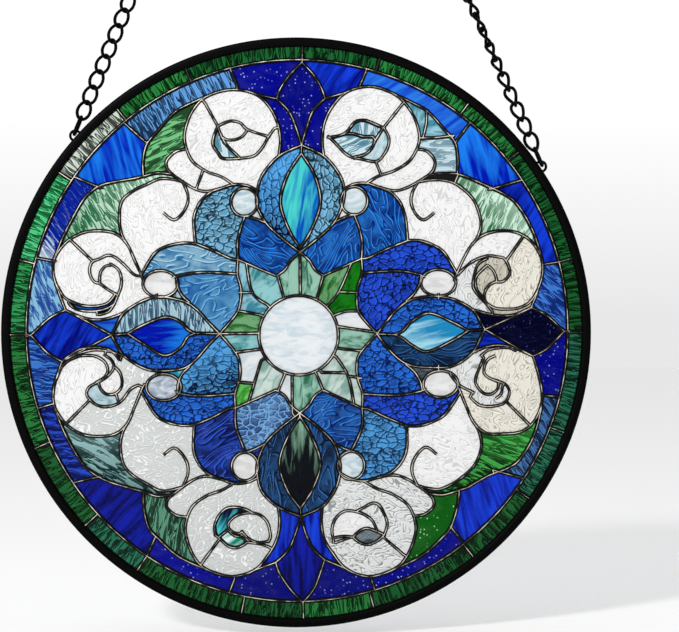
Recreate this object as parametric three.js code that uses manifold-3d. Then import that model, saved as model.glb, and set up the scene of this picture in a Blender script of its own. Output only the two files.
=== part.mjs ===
// Stained glass suncatcher: a round leaded glass panel in a black metal rim, hung on two runs of
// twisted curb chain that meet at one ring. Millimetres, +Z up; the panel faces -Y, +X is to its
// right. The origin is the point inside the hanging ring where a hook bears.
//
// The panel is drawn as a window maker draws it. Every lead line is a smooth curve through a few
// points of the upper right quarter; the other quarters repeat it mirrored, each with its own
// small hand-made drift. A sheet of glass is cut along the lines, and each cut-out is one pane.
import * as THREE from 'three';
import Module from 'manifold-3d';
import { mergeVertices } from 'three/addons/utils/BufferGeometryUtils.js';

const wasm = await Module();
wasm.setup();

// ---- driving dimensions -------------------------------------------------------------------
const PANEL_RADIUS = 150;
const RIM_INNER_RADIUS = 145.3;
const RIM_WALL = 2;
const RIM_HALF_DEPTH = 3.3;
const RIM_SEGMENTS = 40;
const GLASS_HALF = 1.5;
const LEAD_WIDTH = 2.2;
const LEAD_HALF = 2.4;
const BEAD_WIDTH = 1.8;
const GAP = 0.3;

const BORDER_LINE = { x: 0.5, z: 0.9, radius: 137.7, sides: 32 };
const CENTRE_LINE = { x: 1.3, z: -1.5, radius: 20.2, sides: 12 };
const PEARL_SIDES = 10;
const CURVE_TOLERANCE = 1;
const BEAD_TOLERANCE = 1.5;
const OUTLINE_TOLERANCE = 0.12;

const PANEL_OFFSET = 2;
const DROP = 379;
const RING_RADIUS = 7;
const RING_WIRE = 2;
const CHAIN_WIRE = 1.45;
const LINK_HALF_LENGTH = 4.82;
const LINK_HALF_WIDTH = 4;
const LINK_PITCH = 8.55;
const LINK_SIDES = 4;
const LOOP_RADIUS = 2.6;
const LOOP_WIRE = 1.4;
const LOOP_HEIGHT = 3.8;
const LOOP_SEAT = 1.3;
const LOOPS = { left: 138.3, right: 34.1 };

// ---- the drawing: lead lines of the upper right quarter -------------------------------------
// [u, v] is the distance out along X and up along Z from the middle of the rim.
const PANE_LINES = {
  top_surround: [[2, 40.6], [11.8, 48.4], [19.5, 56], [23.6, 65], [24.5, 73], [21.6, 81],
    [14, 89.8], [2.8, 95.2]],
  side_surround: [[41.2, -0.8], [45.5, 4.8], [52, 12.2], [59, 16.7], [70, 18.3], [80, 16.8],
    [89.6, 11.7], [94, 5.2], [96, 1.5]],
  top_jewel: [[2.1, 43], [7.7, 52], [12.4, 66], [9.4, 80], [2.7, 91]],
  side_jewel: [[50.5, -1.2], [54.5, 0.9], [59.6, 6], [68, 9.7], [80, 5], [87.5, 0.8]],
  top_jewel_stem: [[2, 40.6], [2.1, 43]],
  side_jewel_stem: [[41.2, -0.8], [50.5, -1.2]],
  upper_scroll: [[14, 89.8], [13.3, 98], [14.6, 107], [18.7, 115.2], [25.5, 122], [36, 125],
    [46, 123], [54, 118], [60, 109.5], [62.8, 100], [61.5, 93.2]],
  scroll_base: [[24.5, 73], [29.6, 75.4], [36, 75.8], [43, 73.6], [50, 72], [56, 73.4],
    [62, 76.5], [67.5, 80]],
  bean: [[61.5, 93.2], [66.6, 92], [70.4, 87.5], [70, 83], [67.5, 80]],
  shoulder: [[67.5, 80], [75, 80.8], [82, 80.6]],
  leaf_back: [[86.5, 79.2], [97, 74.5], [106, 70.2], [112, 65.6], [118, 56.5], [122, 47.5],
    [125.2, 37]],
  band_foot: [[46, 123], [59, 116.8], [67.3, 112], [75.5, 103], [80.9, 96.5], [82.3, 88],
    [82, 80.6]],
  petal_foot: [[2, 40.6], [6.6, 36.8], [9.6, 32], [13.8, 28.9]],
  star_edge: [[13.8, 28.9], [20.9, 32], [33.3, 37.5]],
  first_petals: [[29.5, 59.8], [32, 53.5], [33.6, 46], [33.3, 37.5]],
  petal_tip: [[29.5, 59.8], [25.5, 58.7], [19.8, 56.2]],
  second_petal: [[43, 73.6], [48.5, 71], [53.2, 65.5], [55.7, 58], [56.8, 46.7]],
  second_petals: [[33.3, 37.5], [37, 38], [46, 42.3], [56.8, 46.7]],
  third_petal: [[56.8, 46.7], [63, 46.6], [70, 44.2], [75.5, 40.3], [81.8, 30]],
  third_petals: [[33.8, 30.2], [48.2, 31.2], [56.3, 30.8], [63.5, 29.2]],
  star_side: [[33.3, 37.5], [33.6, 30.2], [31.4, 22.9], [30.9, 16.5], [32.4, 9.5], [41.2, -0.8]],
  fourth_petal: [[63.6, 29], [62.8, 24.6], [60, 19.7], [56, 16]],
  lobe_back: [[62, 76.5], [68, 77.4], [74, 77.4], [80, 76], [86, 72], [91, 66], [94, 56],
    [92.5, 49], [89.6, 44.8]],
  lobe_curl: [[62, 76.5], [59, 70.8], [58.6, 65.5], [61, 60], [65, 57.2], [70.3, 60.8]],
  side_scroll: [[81.8, 30], [85.2, 37.4], [89.6, 44.8], [96, 49.8], [104.6, 51.6], [113, 50.4],
    [120, 45.8], [124.6, 38], [125.3, 30], [122.8, 21], [119.6, 12.6]],
  side_scroll_root: [[81.8, 30], [80.4, 26.4]],
  side_scroll_foot: [[89.6, 11.7], [97, 9.6], [104, 8.5], [111, 9], [119.6, 12.6]],
};

// Beads that cross a pane on its faces, over glass that runs on beneath them.
const FACE_LINES = {
  top_jewel_tip: [[2.7, 91], [2.8, 95.2]],
  side_jewel_tip: [[87.5, 0.8], [96, 1.5]],
  top_diamond: [[3, 137.3], [9, 130.8], [13, 124], [14.7, 118.9]],
  top_diamond_foot: [[14.7, 118.9], [8.6, 112.5], [5.4, 104], [2.8, 95.2]],
  side_diamond: [[136.5, 0.5], [127.5, 8.6], [119.6, 12.6]],
  side_diamond_foot: [[119.6, 12.6], [110, 7.8], [96, 1.5]],
  band_foot_start: [[14.7, 118.9], [25.5, 122]],
  shoulder_neck: [[82, 80.6], [86.5, 79.2]],
  bean_back: [[61.5, 93.2], [57.5, 87], [50, 82.2], [42, 79.5], [36, 75.8]],
  side_scroll_hook: [[81.8, 30], [89.2, 35.9], [96.9, 38.8], [104, 38], [108.7, 33], [107.3, 27.7],
    [101.7, 25.6]],
  side_scroll_tail: [[101.7, 25.6], [96.6, 22.2], [96, 17], [100.5, 12.6], [107, 11.8], [119.6, 14]],
  side_scroll_spoke: [[106.9, 37], [115.5, 49.5]],
};

// The eye of each upper scroll: its left end sits higher in the lower half of the panel.
const UPPER_EYE = [
  [[14.2, 99.5], [24.5, 101], [30, 107], [34.5, 108], [44.5, 104]],
  [[14.2, 99.5], [21.4, 94.5], [28.3, 89], [37, 87.2], [44, 89.8], [47.2, 97], [44.5, 104]],
  [[24.5, 101], [34.5, 99.5], [40.2, 98], [44.5, 104]],
  [[40.2, 98], [36.5, 91.5], [30, 89]],
  [[44.5, 104], [54, 117.5]],
];
const LOWER_EYE = [
  [[15.5, 107.8], [28.3, 105], [33, 107.6], [37.5, 108.2], [44.5, 104]],
  [[28.3, 105], [33, 101.2], [38.5, 101], [44.5, 104]],
  [[16.5, 105], [18.5, 96.5], [24.5, 91.3], [32, 91], [38.5, 94], [41.5, 101]],
  [[32, 91], [38.5, 87.4], [44.5, 91], [46.8, 97.5], [44.5, 104]],
  [[44.5, 104], [53.5, 116]],
];

// How far each quarter's drawing drifts from the upper right one: the point, then its shift in
// the upper left, the lower left and the lower right quarter.
const DRIFT = [
  [[2, 40.6], [-4, 0], [-3.9, 0.4], [-0.1, 0.4]],
  [[41.2, -0.8], [-2.4, 0.1], [-2.4, 1.5], [0, 1.6]],
  [[2.1, 43], [-4.2, 0], [-4, 0], [0, 0]],
  [[2.7, 91], [-5.4, 0], [-4.9, -1.5], [-0.5, -1.5]],
  [[2.8, 95.2], [-5.6, 0], [-5.2, -1.5], [-0.4, -1.5]],
  [[50.5, -1.2], [1, 0.7], [1, 1.7], [0, 2.4]],
  [[87.5, 0.8], [-2, -1.5], [-2, -0.1], [0, -1.6]],
  [[96, 1.5], [-2.2, -2.9], [-2.2, -0.1], [0, -3]],
  [[3, 137.3], [-6, 0], [-6.5, 0.1], [0.5, 0.1]],
  [[136.5, 0.5], [-1.5, -2], [-1.5, 1], [0, -1]],
  [[14.7, 118.9], [-4.9, -0.2], [-4.4, -1.9], [-0.2, -3.3]],
  [[119.6, 12.6], [-2.4, -1.3], [-0.6, 2.2], [0.9, -0.5]],
  [[12.4, 66], [-4.5, 0], [-4, 0], [0, 0]],
  [[68, 9.7], [-1.6, -2], [-1, 2], [-1, 0.1]],
  [[24.5, 73], [-4.8, -0.8], [-5, 0.9], [-2.2, -1.6]],
  [[70, 18.3], [-1, -0.2], [-1, 1.3], [0, -0.4]],
  [[29.6, 66.7], [-3.3, -0.7], [-3.6, 1.3], [-1.6, 0.8]],
  [[72.4, 25.2], [-3.4, -0.6], [-5.1, 2.7], [1.1, 1.1]],
  [[33.3, 37.5], [-3.8, -0.5], [-2.5, 1], [0.3, 1.2]],
  [[56.8, 46.7], [-5.6, -1.5], [-5, 0.5], [-0.4, 0.9]],
  [[81.8, 30], [-3, -0.6], [-3, -0.2], [1.8, 0.4]],
  [[38, 100], [-5, -0.8], [-4.7, -0.6], [0.2, -0.4]],
  [[62.8, 100], [-6, 0], [-6.5, 0.5], [-1.8, 0]],
  [[36, 125], [-4.6, -1.6], [-4.6, -0.9], [0, -0.9]],
  [[104.6, 51.6], [-4.3, 0], [-4.3, 1.3], [1.6, 0]],
  [[125.3, 30], [-1.9, 0], [-1.9, 0], [-0.3, 0]],
  [[94, 56], [-4.2, 0.6], [-4.6, 2], [0.3, 2]],
  [[65, 57.2], [-2.6, 0], [-2.6, 1.6], [1.4, 1.2]],
  [[73, 77.4], [-4.5, 0.6], [-4.5, 3], [-0.4, 2.2]],
  [[82, 80.6], [-4.4, -1.2], [-4.4, 0.4], [1, -0.4]],
  [[97, 74.5], [1, 0.7], [-2, 1.5], [0.5, -1.5]],
  [[80.9, 96.5], [-5, -0.9], [-6, 3], [-2.4, 3]],
];

// Round panes: middle and half sizes of their lead rings.
const PEARLS = {
  upper_pearl: { at: [29.6, 66.9], half: [6.8, 7.2] },
  side_pearl: { at: [72.4, 25.2], half: [8.9, 6.8] },
};

// Azimuths, in degrees clockwise from the top, of the bars between the green border panes.
const BORDER_BARS = [1.3, 17, 37, 51, 75, 90, 110.5, 125.5, 141.7, 164.2, 178.5, 191, 213.7, 227.5,
  246, 269.5, 284.7, 304, 321.3, 337.3];
// Bars across the cobalt ring: azimuth and radius of the inner end, then of the outer end.
const RING_BARS = [
  [14.5, 129.5, 15, 137.4], [40, 126, 39.7, 138.6], [53.5, 122, 56, 138.4], [74.6, 129.5, 75, 138.4],
  [104.3, 130, 103.7, 137.8], [125, 122, 122.7, 137.4], [141.5, 126, 141.5, 136.8], [163, 130, 163, 136.8],
  [194, 129.5, 194.4, 136.6], [214.5, 126, 213.7, 136.8], [233.5, 123, 236, 136.8], [253.6, 128, 253.6, 137],
  [286.4, 127, 286, 137.4], [306.5, 123, 305, 138], [321.6, 124, 320.6, 138], [346.6, 129, 346, 137.4],
];
// Bars between the small tiles round the centre disc, quarter by quarter.
const STAR_BARS = [
  [[[2.2, 18.7], [2, 40.6]], [[10.6, 17], [13.8, 28.9]], [[15.5, 13], [21.8, 20.6], [28.2, 35.4]],
    [[21.8, 20.6], [31.4, 20.2]], [[20, 9], [25.5, 10.7], [31.6, 10.8]], [[21.4, 2.9], [41.2, 0]]],
  [[[6.5, 18.5], [9.4, 29]], [[14.6, 14], [22.2, 20.2], [25.2, 34.8]], [[22.2, 20.2], [29.4, 20.2]],
    [[18, 8.8], [29.6, 11]], [[18.8, -0.6], [38.8, -0.7]]],
  [[[2, 22.5], [1.9, 41]], [[5.8, 21.5], [9.2, 30]], [[17.8, 14.5], [21.3, 26], [24.3, 36]],
    [[21.3, 26], [31, 25.2]], [[18.8, 8.6], [30.2, 10.1]], [[18.8, 0.4], [38.8, 0.7]]],
  [[[10.5, 21.5], [14, 30]], [[20.4, 12.5], [26.4, 22.2], [29.4, 36]], [[13, 20.4], [25.3, 20.6]],
    [[26.4, 22.2], [33.6, 23.2]], [[21.6, 8.2], [32.8, 9.4]]],
];

const QUARTERS = [
  { name: 'upper_right', x: 1, z: 1, drift: 0, eye: UPPER_EYE },
  { name: 'upper_left', x: -1, z: 1, drift: 1, eye: UPPER_EYE },
  { name: 'lower_left', x: -1, z: -1, drift: 2, eye: LOWER_EYE },
  { name: 'lower_right', x: 1, z: -1, drift: 3, eye: LOWER_EYE },
];

// One point inside each pane of a quarter.
const QUARTER_PANES = {
  first_petal: [20, 45],
  second_petal: [44, 58],
  third_petal: [60, 38],
  fourth_petal: [46, 20],
  upper_pearl: [29.6, 66.7],
  side_pearl: [72.4, 25.2],
  upper_scroll: [45, 112],
  side_scroll: [114, 38],
  lobe: [78, 64],
  leaf: [74, 93],
};

// ---- drawing helpers ------------------------------------------------------------------------
function shiftFrom(quarter, u, v) {
  if (quarter.drift === 0) return [0, 0];
  let total = 0;
  const sum = [0, 0];
  for (const [point, ...shifts] of DRIFT) {
    const weight = 1 / (Math.hypot(u - point[0], v - point[1]) ** 3 + 1e-6);
    const shift = shifts[quarter.drift - 1];
    total += weight;
    sum[0] += weight * shift[0];
    sum[1] += weight * shift[1];
  }
  return [sum[0] / total, sum[1] / total];
}

function placed(quarter, [u, v]) {
  const [du, dv] = shiftFrom(quarter, u, v);
  return new THREE.Vector2(quarter.x * (u + du), quarter.z * (v + dv));
}

function mirrored(quarter, [u, v]) {
  return new THREE.Vector2(quarter.x * u, quarter.z * v);
}

function polar(azimuth, radius) {
  const turn = THREE.MathUtils.degToRad(azimuth);
  return new THREE.Vector2(radius * Math.sin(turn), radius * Math.cos(turn));
}

function distanceToChord(point, start, end) {
  const chord = end.clone().sub(start);
  const along = point.clone().sub(start);
  return Math.abs(chord.cross(along)) / chord.length();
}

// The fewest points that keep a line within the tolerance.
function thinned(points, tolerance) {
  const last = points.length - 1;
  let worst = 0;
  let index = 0;
  for (let i = 1; i < last; i++) {
    const distance = distanceToChord(points[i], points[0], points[last]);
    if (distance > worst) [worst, index] = [distance, i];
  }
  if (worst <= tolerance) return [points[0], points[last]];
  const head = thinned(points.slice(0, index + 1), tolerance);
  return head.slice(0, -1).concat(thinned(points.slice(index), tolerance));
}

function smoothLine(points, tolerance) {
  if (points.length === 2) return points;
  return thinned(new THREE.SplineCurve(points).getPoints(8 * points.length), tolerance);
}

// The line moved sideways by the given distance, with mitred corners and lengthened ends.
function sideLine(points, offset, lengthening) {
  const last = points.length - 1;
  return points.map((point, i) => {
    const before = point.clone().sub(points[Math.max(i - 1, 0)]).normalize();
    const after = points[Math.min(i + 1, last)].clone().sub(point).normalize();
    const along = before.clone().add(after).normalize();
    const normal = new THREE.Vector2(-along.y, along.x);
    const cosine = i === 0 || i === last ? 1 : Math.max(Math.sqrt((1 + before.dot(after)) / 2), 0.6);
    const shift = i === 0 ? -lengthening : i === last ? lengthening : 0;
    return point.clone().addScaledVector(normal, offset / cosine).addScaledVector(along, shift);
  });
}

// ---- solids ---------------------------------------------------------------------------------
function solidOf(geometry) {
  const bare = geometry.clone();
  bare.deleteAttribute('normal');
  bare.deleteAttribute('uv');
  const merged = mergeVertices(bare, 1e-4);
  return new wasm.Manifold(new wasm.Mesh({
    numProp: 3,
    vertProperties: new Float32Array(merged.attributes.position.array),
    triVerts: new Uint32Array(merged.index.array),
  }));
}

function geometryOf(solid) {
  const mesh = solid.getMesh();
  const geometry = new THREE.BufferGeometry();
  geometry.setAttribute('position', new THREE.BufferAttribute(new Float32Array(mesh.vertProperties), 3));
  geometry.setIndex(new THREE.BufferAttribute(new Uint32Array(mesh.triVerts), 1));
  return geometry;
}

// A flat outline in the panel's plane, thick from one depth to another along Y.
function slab(shape, front, back, curveSegments = 12) {
  const options = { depth: back - front, bevelEnabled: false, curveSegments };
  const geometry = new THREE.ExtrudeGeometry(shape, options);
  geometry.rotateX(Math.PI / 2).translate(0, back, 0);
  return solidOf(geometry);
}

function strip(points, width, front, back, lengthening) {
  const left = sideLine(points, width / 2, lengthening);
  const right = sideLine(points, -width / 2, lengthening);
  return slab(new THREE.Shape(left.concat(right.reverse())), front, back);
}

function ellipsePoints(centre, halfU, halfV, count) {
  return new THREE.EllipseCurve(centre.x, centre.y, halfU, halfV).getPoints(count).slice(0, -1);
}

function ringSlab(centre, halfU, halfV, width, half, count) {
  const shape = new THREE.Shape(ellipsePoints(centre, halfU + width / 2, halfV + width / 2, count));
  shape.holes.push(new THREE.Path(ellipsePoints(centre, halfU - width / 2, halfV - width / 2, count)));
  return slab(shape, -half, half);
}

function joined(solids) {
  return solids.reduce((sum, solid) => sum.add(solid));
}

// ---- panes and lead --------------------------------------------------------------------------
// Every line that parts two panes, as strips through the sheet, widened by a margin on each side.
function partingLines(margin) {
  const width = LEAD_WIDTH + 2 * margin;
  const solids = [];
  for (const quarter of QUARTERS) {
    for (const points of Object.values(PANE_LINES)) {
      const line = smoothLine(points.map((point) => placed(quarter, point)), CURVE_TOLERANCE);
      solids.push(strip(line, width, -LEAD_HALF, LEAD_HALF, LEAD_WIDTH / 3 + margin));
    }
    for (const { at, half: [halfU, halfV] } of Object.values(PEARLS)) {
      solids.push(ringSlab(placed(quarter, at), halfU, halfV, width, LEAD_HALF, PEARL_SIDES));
    }
  }
  for (const { x, z, radius, sides } of [BORDER_LINE, CENTRE_LINE]) {
    solids.push(ringSlab(new THREE.Vector2(x, z), radius, radius, width, LEAD_HALF, sides));
  }
  return joined(solids);
}

function glassSheet() {
  const radius = PANEL_RADIUS - RIM_WALL - 2 * GAP;
  const outline = ellipsePoints(new THREE.Vector2(0, 0), radius, radius, RIM_SEGMENTS);
  return slab(new THREE.Shape(outline), -GLASS_HALF, GLASS_HALF);
}

// The loops that bound the front face of a flat piece, each thinned to the points it needs.
function outlineLoops(piece) {
  const { vertProperties, triVerts } = piece.getMesh();
  const next = new Map();
  for (let i = 0; i < triVerts.length; i += 3) {
    const triangle = [0, 1, 2].map((k) => triVerts[i + k]);
    if (!triangle.every((vertex) => vertProperties[3 * vertex + 1] < 0)) continue;
    triangle.forEach((from, k) => {
      const to = triangle[(k + 1) % 3];
      if (!next.delete(`${to} ${from}`)) next.set(`${from} ${to}`, [from, to]);
    });
  }
  const follow = new Map(next.values());
  const loops = [];
  while (follow.size) {
    const loop = [];
    let [vertex] = follow.keys();
    while (follow.has(vertex)) {
      loop.push(new THREE.Vector2(vertProperties[3 * vertex], vertProperties[3 * vertex + 2]));
      const to = follow.get(vertex);
      follow.delete(vertex);
      vertex = to;
    }
    loops.push(thinnedLoop(loop));
  }
  const area = (loop) => Math.abs(THREE.ShapeUtils.area(loop));
  return loops.sort((one, other) => area(other) - area(one));
}

function farthestFrom(point, loop) {
  const distances = loop.map((other) => other.distanceTo(point));
  return distances.indexOf(Math.max(...distances));
}

function thinnedLoop(loop) {
  const start = farthestFrom(loop[0], loop);
  const turned = loop.slice(start).concat(loop.slice(0, start));
  const middle = farthestFrom(turned[0], turned);
  const there = thinned(turned.slice(0, middle + 1), OUTLINE_TOLERANCE);
  const back = thinned(turned.slice(middle).concat([turned[0]]), OUTLINE_TOLERANCE);
  return there.slice(0, -1).concat(back.slice(0, -1));
}

function paneSlab(loops, half) {
  const shape = new THREE.Shape(loops[0]);
  shape.holes = loops.slice(1).map((points) => new THREE.Path(points));
  return slab(shape, -half, half);
}

function holdsPoint(loops, point) {
  return loops.filter((loop) => {
    let inside = false;
    loop.forEach((from, i) => {
      const to = loop[(i + 1) % loop.length];
      const crosses = from.y > point.y !== to.y > point.y;
      const at = from.x + ((point.y - from.y) / (to.y - from.y)) * (to.x - from.x);
      if (crosses && point.x < at) inside = !inside;
    });
    return inside;
  }).length === 1;
}

function panePlaces() {
  const places = {
    centre_disc: new THREE.Vector2(0, 0),
    star_ring: new THREE.Vector2(26, 15),
    cobalt_ring: new THREE.Vector2(3, 120),
    green_border: polar(27, 142),
    top_jewel: new THREE.Vector2(2, 68),
    bottom_jewel: new THREE.Vector2(2, -68),
    left_jewel: new THREE.Vector2(-68, -1),
    right_jewel: new THREE.Vector2(68, 0),
    top_jewel_surround: new THREE.Vector2(18, 68),
    bottom_jewel_surround: new THREE.Vector2(17, -68),
    left_jewel_surround: new THREE.Vector2(-68, 13),
    right_jewel_surround: new THREE.Vector2(68, 14),
  };
  for (const quarter of QUARTERS) {
    for (const [pane, point] of Object.entries(QUARTER_PANES)) {
      places[`${pane}_${quarter.name}`] = placed(quarter, point);
    }
  }
  return places;
}

// The outline of every named pane, drawn in from the middle of its lead by half the lead's
// width and a margin.
function paneOutlines(margin) {
  const pieces = glassSheet().subtract(partingLines(margin)).decompose().map(outlineLoops);
  const named = {};
  for (const [name, point] of Object.entries(panePlaces())) {
    named[name] = pieces.find((loops) => holdsPoint(loops, point));
  }
  return named;
}

function faceBead(points) {
  const line = smoothLine(points, BEAD_TOLERANCE);
  return strip(line, BEAD_WIDTH, -LEAD_HALF, -GLASS_HALF - GAP, LEAD_WIDTH / 4);
}

function faceBeads() {
  const beads = [];
  QUARTERS.forEach((quarter, index) => {
    for (const points of Object.values(FACE_LINES).concat(quarter.eye)) {
      beads.push(faceBead(points.map((point) => placed(quarter, point))));
    }
    for (const points of STAR_BARS[index]) {
      beads.push(faceBead(points.map((point) => mirrored(quarter, point))));
    }
  });
  for (const azimuth of BORDER_BARS) {
    beads.push(faceBead([polar(azimuth, 137.6), polar(azimuth, RIM_INNER_RADIUS - 1.2)]));
  }
  for (const [innerAzimuth, innerRadius, outerAzimuth, outerRadius] of RING_BARS) {
    beads.push(faceBead([polar(innerAzimuth, innerRadius), polar(outerAzimuth, outerRadius)]));
  }
  return joined(beads);
}

// The whole inside of the border's hole, less every pane; small gaps stay filled with solder.
function leadNetwork() {
  const { green_border: border, ...inner } = paneOutlines(0);
  const field = slab(new THREE.Shape(border[1]), -LEAD_HALF, LEAD_HALF);
  const openings = Object.values(inner).map((loops) => paneSlab(loops, LEAD_HALF + GAP));
  return openings.reduce((lead, opening) => lead.subtract(opening), field).add(faceBeads());
}

// ---- rim, ring and chain ---------------------------------------------------------------------
// A channel that is open inward: its lips cover the edge of the border glass on both faces.
function rimChannel() {
  const lipDepth = GLASS_HALF + GAP;
  const wall = PANEL_RADIUS - RIM_WALL;
  const profile = [
    [RIM_INNER_RADIUS, -RIM_HALF_DEPTH], [PANEL_RADIUS, -RIM_HALF_DEPTH],
    [PANEL_RADIUS, RIM_HALF_DEPTH], [RIM_INNER_RADIUS, RIM_HALF_DEPTH],
    [RIM_INNER_RADIUS, lipDepth], [wall, lipDepth], [wall, -lipDepth], [RIM_INNER_RADIUS, -lipDepth],
  ];
  const closed = profile.concat([profile[0]]).map(([radius, depth]) => new THREE.Vector2(radius, depth));
  const start = Math.PI / 2;
  return solidOf(new THREE.LatheGeometry(closed, RIM_SEGMENTS, start));
}

// A wire staple soldered on the rim's edge; its legs stand square to the rim.
function rimLoop(angle) {
  const foot = PANEL_RADIUS * Math.cos(Math.PI / RIM_SEGMENTS) - 1;
  const bend = PANEL_RADIUS + LOOP_HEIGHT - LOOP_WIRE / 2;
  const half = [[foot, LOOP_RADIUS], [bend - 1, LOOP_RADIUS], [bend, 0.6 * LOOP_RADIUS]];
  const legs = half.concat(half.map(([out, side]) => [out, -side]).reverse());
  const path = new THREE.CurvePath();
  const points = legs.map(([out, side]) => new THREE.Vector3(out, 0, -side));
  for (let i = 1; i < points.length; i++) path.add(new THREE.LineCurve3(points[i - 1], points[i]));
  const section = new THREE.Shape(ellipsePoints(new THREE.Vector2(0, 0), LOOP_WIRE / 2, LOOP_WIRE / 2, 4));
  const geometry = new THREE.ExtrudeGeometry(section, { steps: 6, extrudePath: path });
  geometry.rotateY(-THREE.MathUtils.degToRad(angle));
  return solidOf(geometry);
}

// One link along X, of three-sided wire with square ends, rolled about its length. At no roll
// it lies in the panel's plane.
function linkGeometry(roll) {
  const flare = 1 / Math.cos(Math.PI / LINK_SIDES);
  const inner = (LINK_HALF_WIDTH - CHAIN_WIRE / 2) * flare;
  const outer = (LINK_HALF_WIDTH + CHAIN_WIRE / 2) * flare;
  const half = 0.6 * CHAIN_WIRE;
  const section = [[inner, -half], [outer, 0], [inner, half], [inner, -half]];
  const profile = section.map(([radius, side]) => new THREE.Vector2(radius, side));
  const geometry = new THREE.LatheGeometry(profile, LINK_SIDES, Math.PI / LINK_SIDES);
  const position = geometry.attributes.position;
  const stretch = LINK_HALF_LENGTH - LINK_HALF_WIDTH;
  for (let i = 0; i < position.count; i++) {
    position.setX(i, position.getX(i) + Math.sign(position.getX(i)) * stretch);
  }
  return geometry.rotateX(roll);
}

// The links from one bearing point to the other, each square to the next. The first and last
// stand edge on, round the wire that they hang on.
function chainRun(start, end) {
  const along = end.clone().sub(start);
  const length = along.length() - 2 * LINK_HALF_LENGTH;
  const direction = along.normalize();
  const side = new THREE.Vector3(0, 1, 0);
  const up = new THREE.Vector3().crossVectors(direction, side);
  const count = Math.ceil(length / LINK_PITCH) + 1;
  const links = [];
  for (let i = 0; i < count; i++) {
    const atEnd = i === 0 || i === count - 1;
    const roll = atEnd ? Math.PI / 2 : (i % 2 ? 1 : -1) * Math.PI / 4;
    const link = linkGeometry(roll);
    link.applyMatrix4(new THREE.Matrix4().makeBasis(direction, side, up));
    const distance = LINK_HALF_LENGTH + (length * i) / (count - 1);
    const centre = start.clone().addScaledVector(direction, distance);
    links.push(solidOf(link.translate(centre.x, centre.y, centre.z)));
  }
  return joined(links);
}

// ---- scene graph -----------------------------------------------------------------------------
const FINISHES = {
  lead: { color: 0x33302c, roughness: 0.45, metalness: 0.8 },
  black: { color: 0x0c0c0c, roughness: 0.4, metalness: 0.6 },
  white: { color: 0xf2f3f0, roughness: 0.15, metalness: 0 },
  ice: { color: 0xe4edf3, roughness: 0.15, metalness: 0 },
  mint: { color: 0x7fb8a4, roughness: 0.15, metalness: 0 },
  leaf: { color: 0x2c7a43, roughness: 0.15, metalness: 0 },
  border: { color: 0x14552e, roughness: 0.15, metalness: 0 },
  cobalt: { color: 0x0c1f9c, roughness: 0.15, metalness: 0 },
  royal: { color: 0x1b46c4, roughness: 0.15, metalness: 0 },
  azure: { color: 0x2f7fd6, roughness: 0.15, metalness: 0 },
  aqua: { color: 0x1fa6dc, roughness: 0.15, metalness: 0 },
};
const PANE_FINISH = {
  centre_disc: 'ice', star_ring: 'mint', cobalt_ring: 'cobalt', green_border: 'border',
  top_jewel: 'aqua', right_jewel: 'aqua', left_jewel: 'royal', bottom_jewel: 'mint',
  top_jewel_surround: 'azure', right_jewel_surround: 'royal',
  bottom_jewel_surround: 'cobalt', left_jewel_surround: 'azure',
  first_petal: 'royal', second_petal: 'azure', third_petal: 'cobalt', fourth_petal: 'royal',
  upper_pearl: 'ice', side_pearl: 'white', upper_scroll: 'white', side_scroll: 'white',
  lobe: 'white', leaf: 'leaf',
};

// The finish listed for the longest beginning of the pane's name.
function finishOf(name) {
  const keys = Object.keys(PANE_FINISH).filter((pane) => name.startsWith(pane));
  return FINISHES[PANE_FINISH[keys.sort((one, other) => other.length - one.length)[0]]];
}

function meshOf(name, solid, finish) {
  const mesh = new THREE.Mesh(geometryOf(solid), new THREE.MeshStandardMaterial(finish));
  mesh.name = name;
  return mesh;
}

function panel() {
  const group = new THREE.Group();
  group.position.set(PANEL_OFFSET, 0, -DROP);
  const rim = rimChannel().add(rimLoop(LOOPS.left)).add(rimLoop(LOOPS.right));
  group.add(meshOf('rim', rim, FINISHES.black));
  group.add(meshOf('lead_lines', leadNetwork(), FINISHES.lead));
  for (const [name, loops] of Object.entries(paneOutlines(GAP))) {
    group.add(meshOf(name, paneSlab(loops, GLASS_HALF), finishOf(name)));
  }
  return group;
}

function hanging() {
  const group = new THREE.Group();
  const ringCentre = new THREE.Vector3(0, 0, RING_WIRE / 2 - RING_RADIUS);
  const ring = new THREE.TorusGeometry(RING_RADIUS, RING_WIRE / 2, 6, 16);
  ring.rotateX(Math.PI / 2).translate(0, 0, ringCentre.z);
  group.add(meshOf('hanging_ring', solidOf(ring), FINISHES.black));
  for (const [side, angle] of Object.entries(LOOPS)) {
    const turn = THREE.MathUtils.degToRad(angle);
    const out = PANEL_RADIUS + LOOP_SEAT;
    const loop = new THREE.Vector3(PANEL_OFFSET + out * Math.cos(turn), 0, -DROP + out * Math.sin(turn));
    const toLoop = loop.clone().sub(ringCentre).normalize();
    const bearing = RING_RADIUS - RING_WIRE / 2 - GAP - CHAIN_WIRE / 2;
    const start = ringCentre.clone().addScaledVector(toLoop, bearing);
    group.add(meshOf(`chain_${side}`, chainRun(start, loop), FINISHES.black));
  }
  return group;
}

const suncatcher = new THREE.Group();
suncatcher.add(hanging(), panel());

export default suncatcher;
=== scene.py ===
# %% [markdown]
# # A stained glass suncatcher
# A round leaded panel hangs from one ring by two runs of black curb chain. This notebook dresses
# the CAD frame in its real finishes: about 175 panes of art glass, the soldered lead lines
# between them, a satin black channel round the edge, and round wire links. The panel faces -Y,
# +X is to its right and +Z is up. Lengths are metres, and the drawing is in millimetres.

# %% Load the frame
import math

import bpy
import numpy as np
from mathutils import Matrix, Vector, noise
from mathutils.geometry import delaunay_2d_cdt


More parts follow.
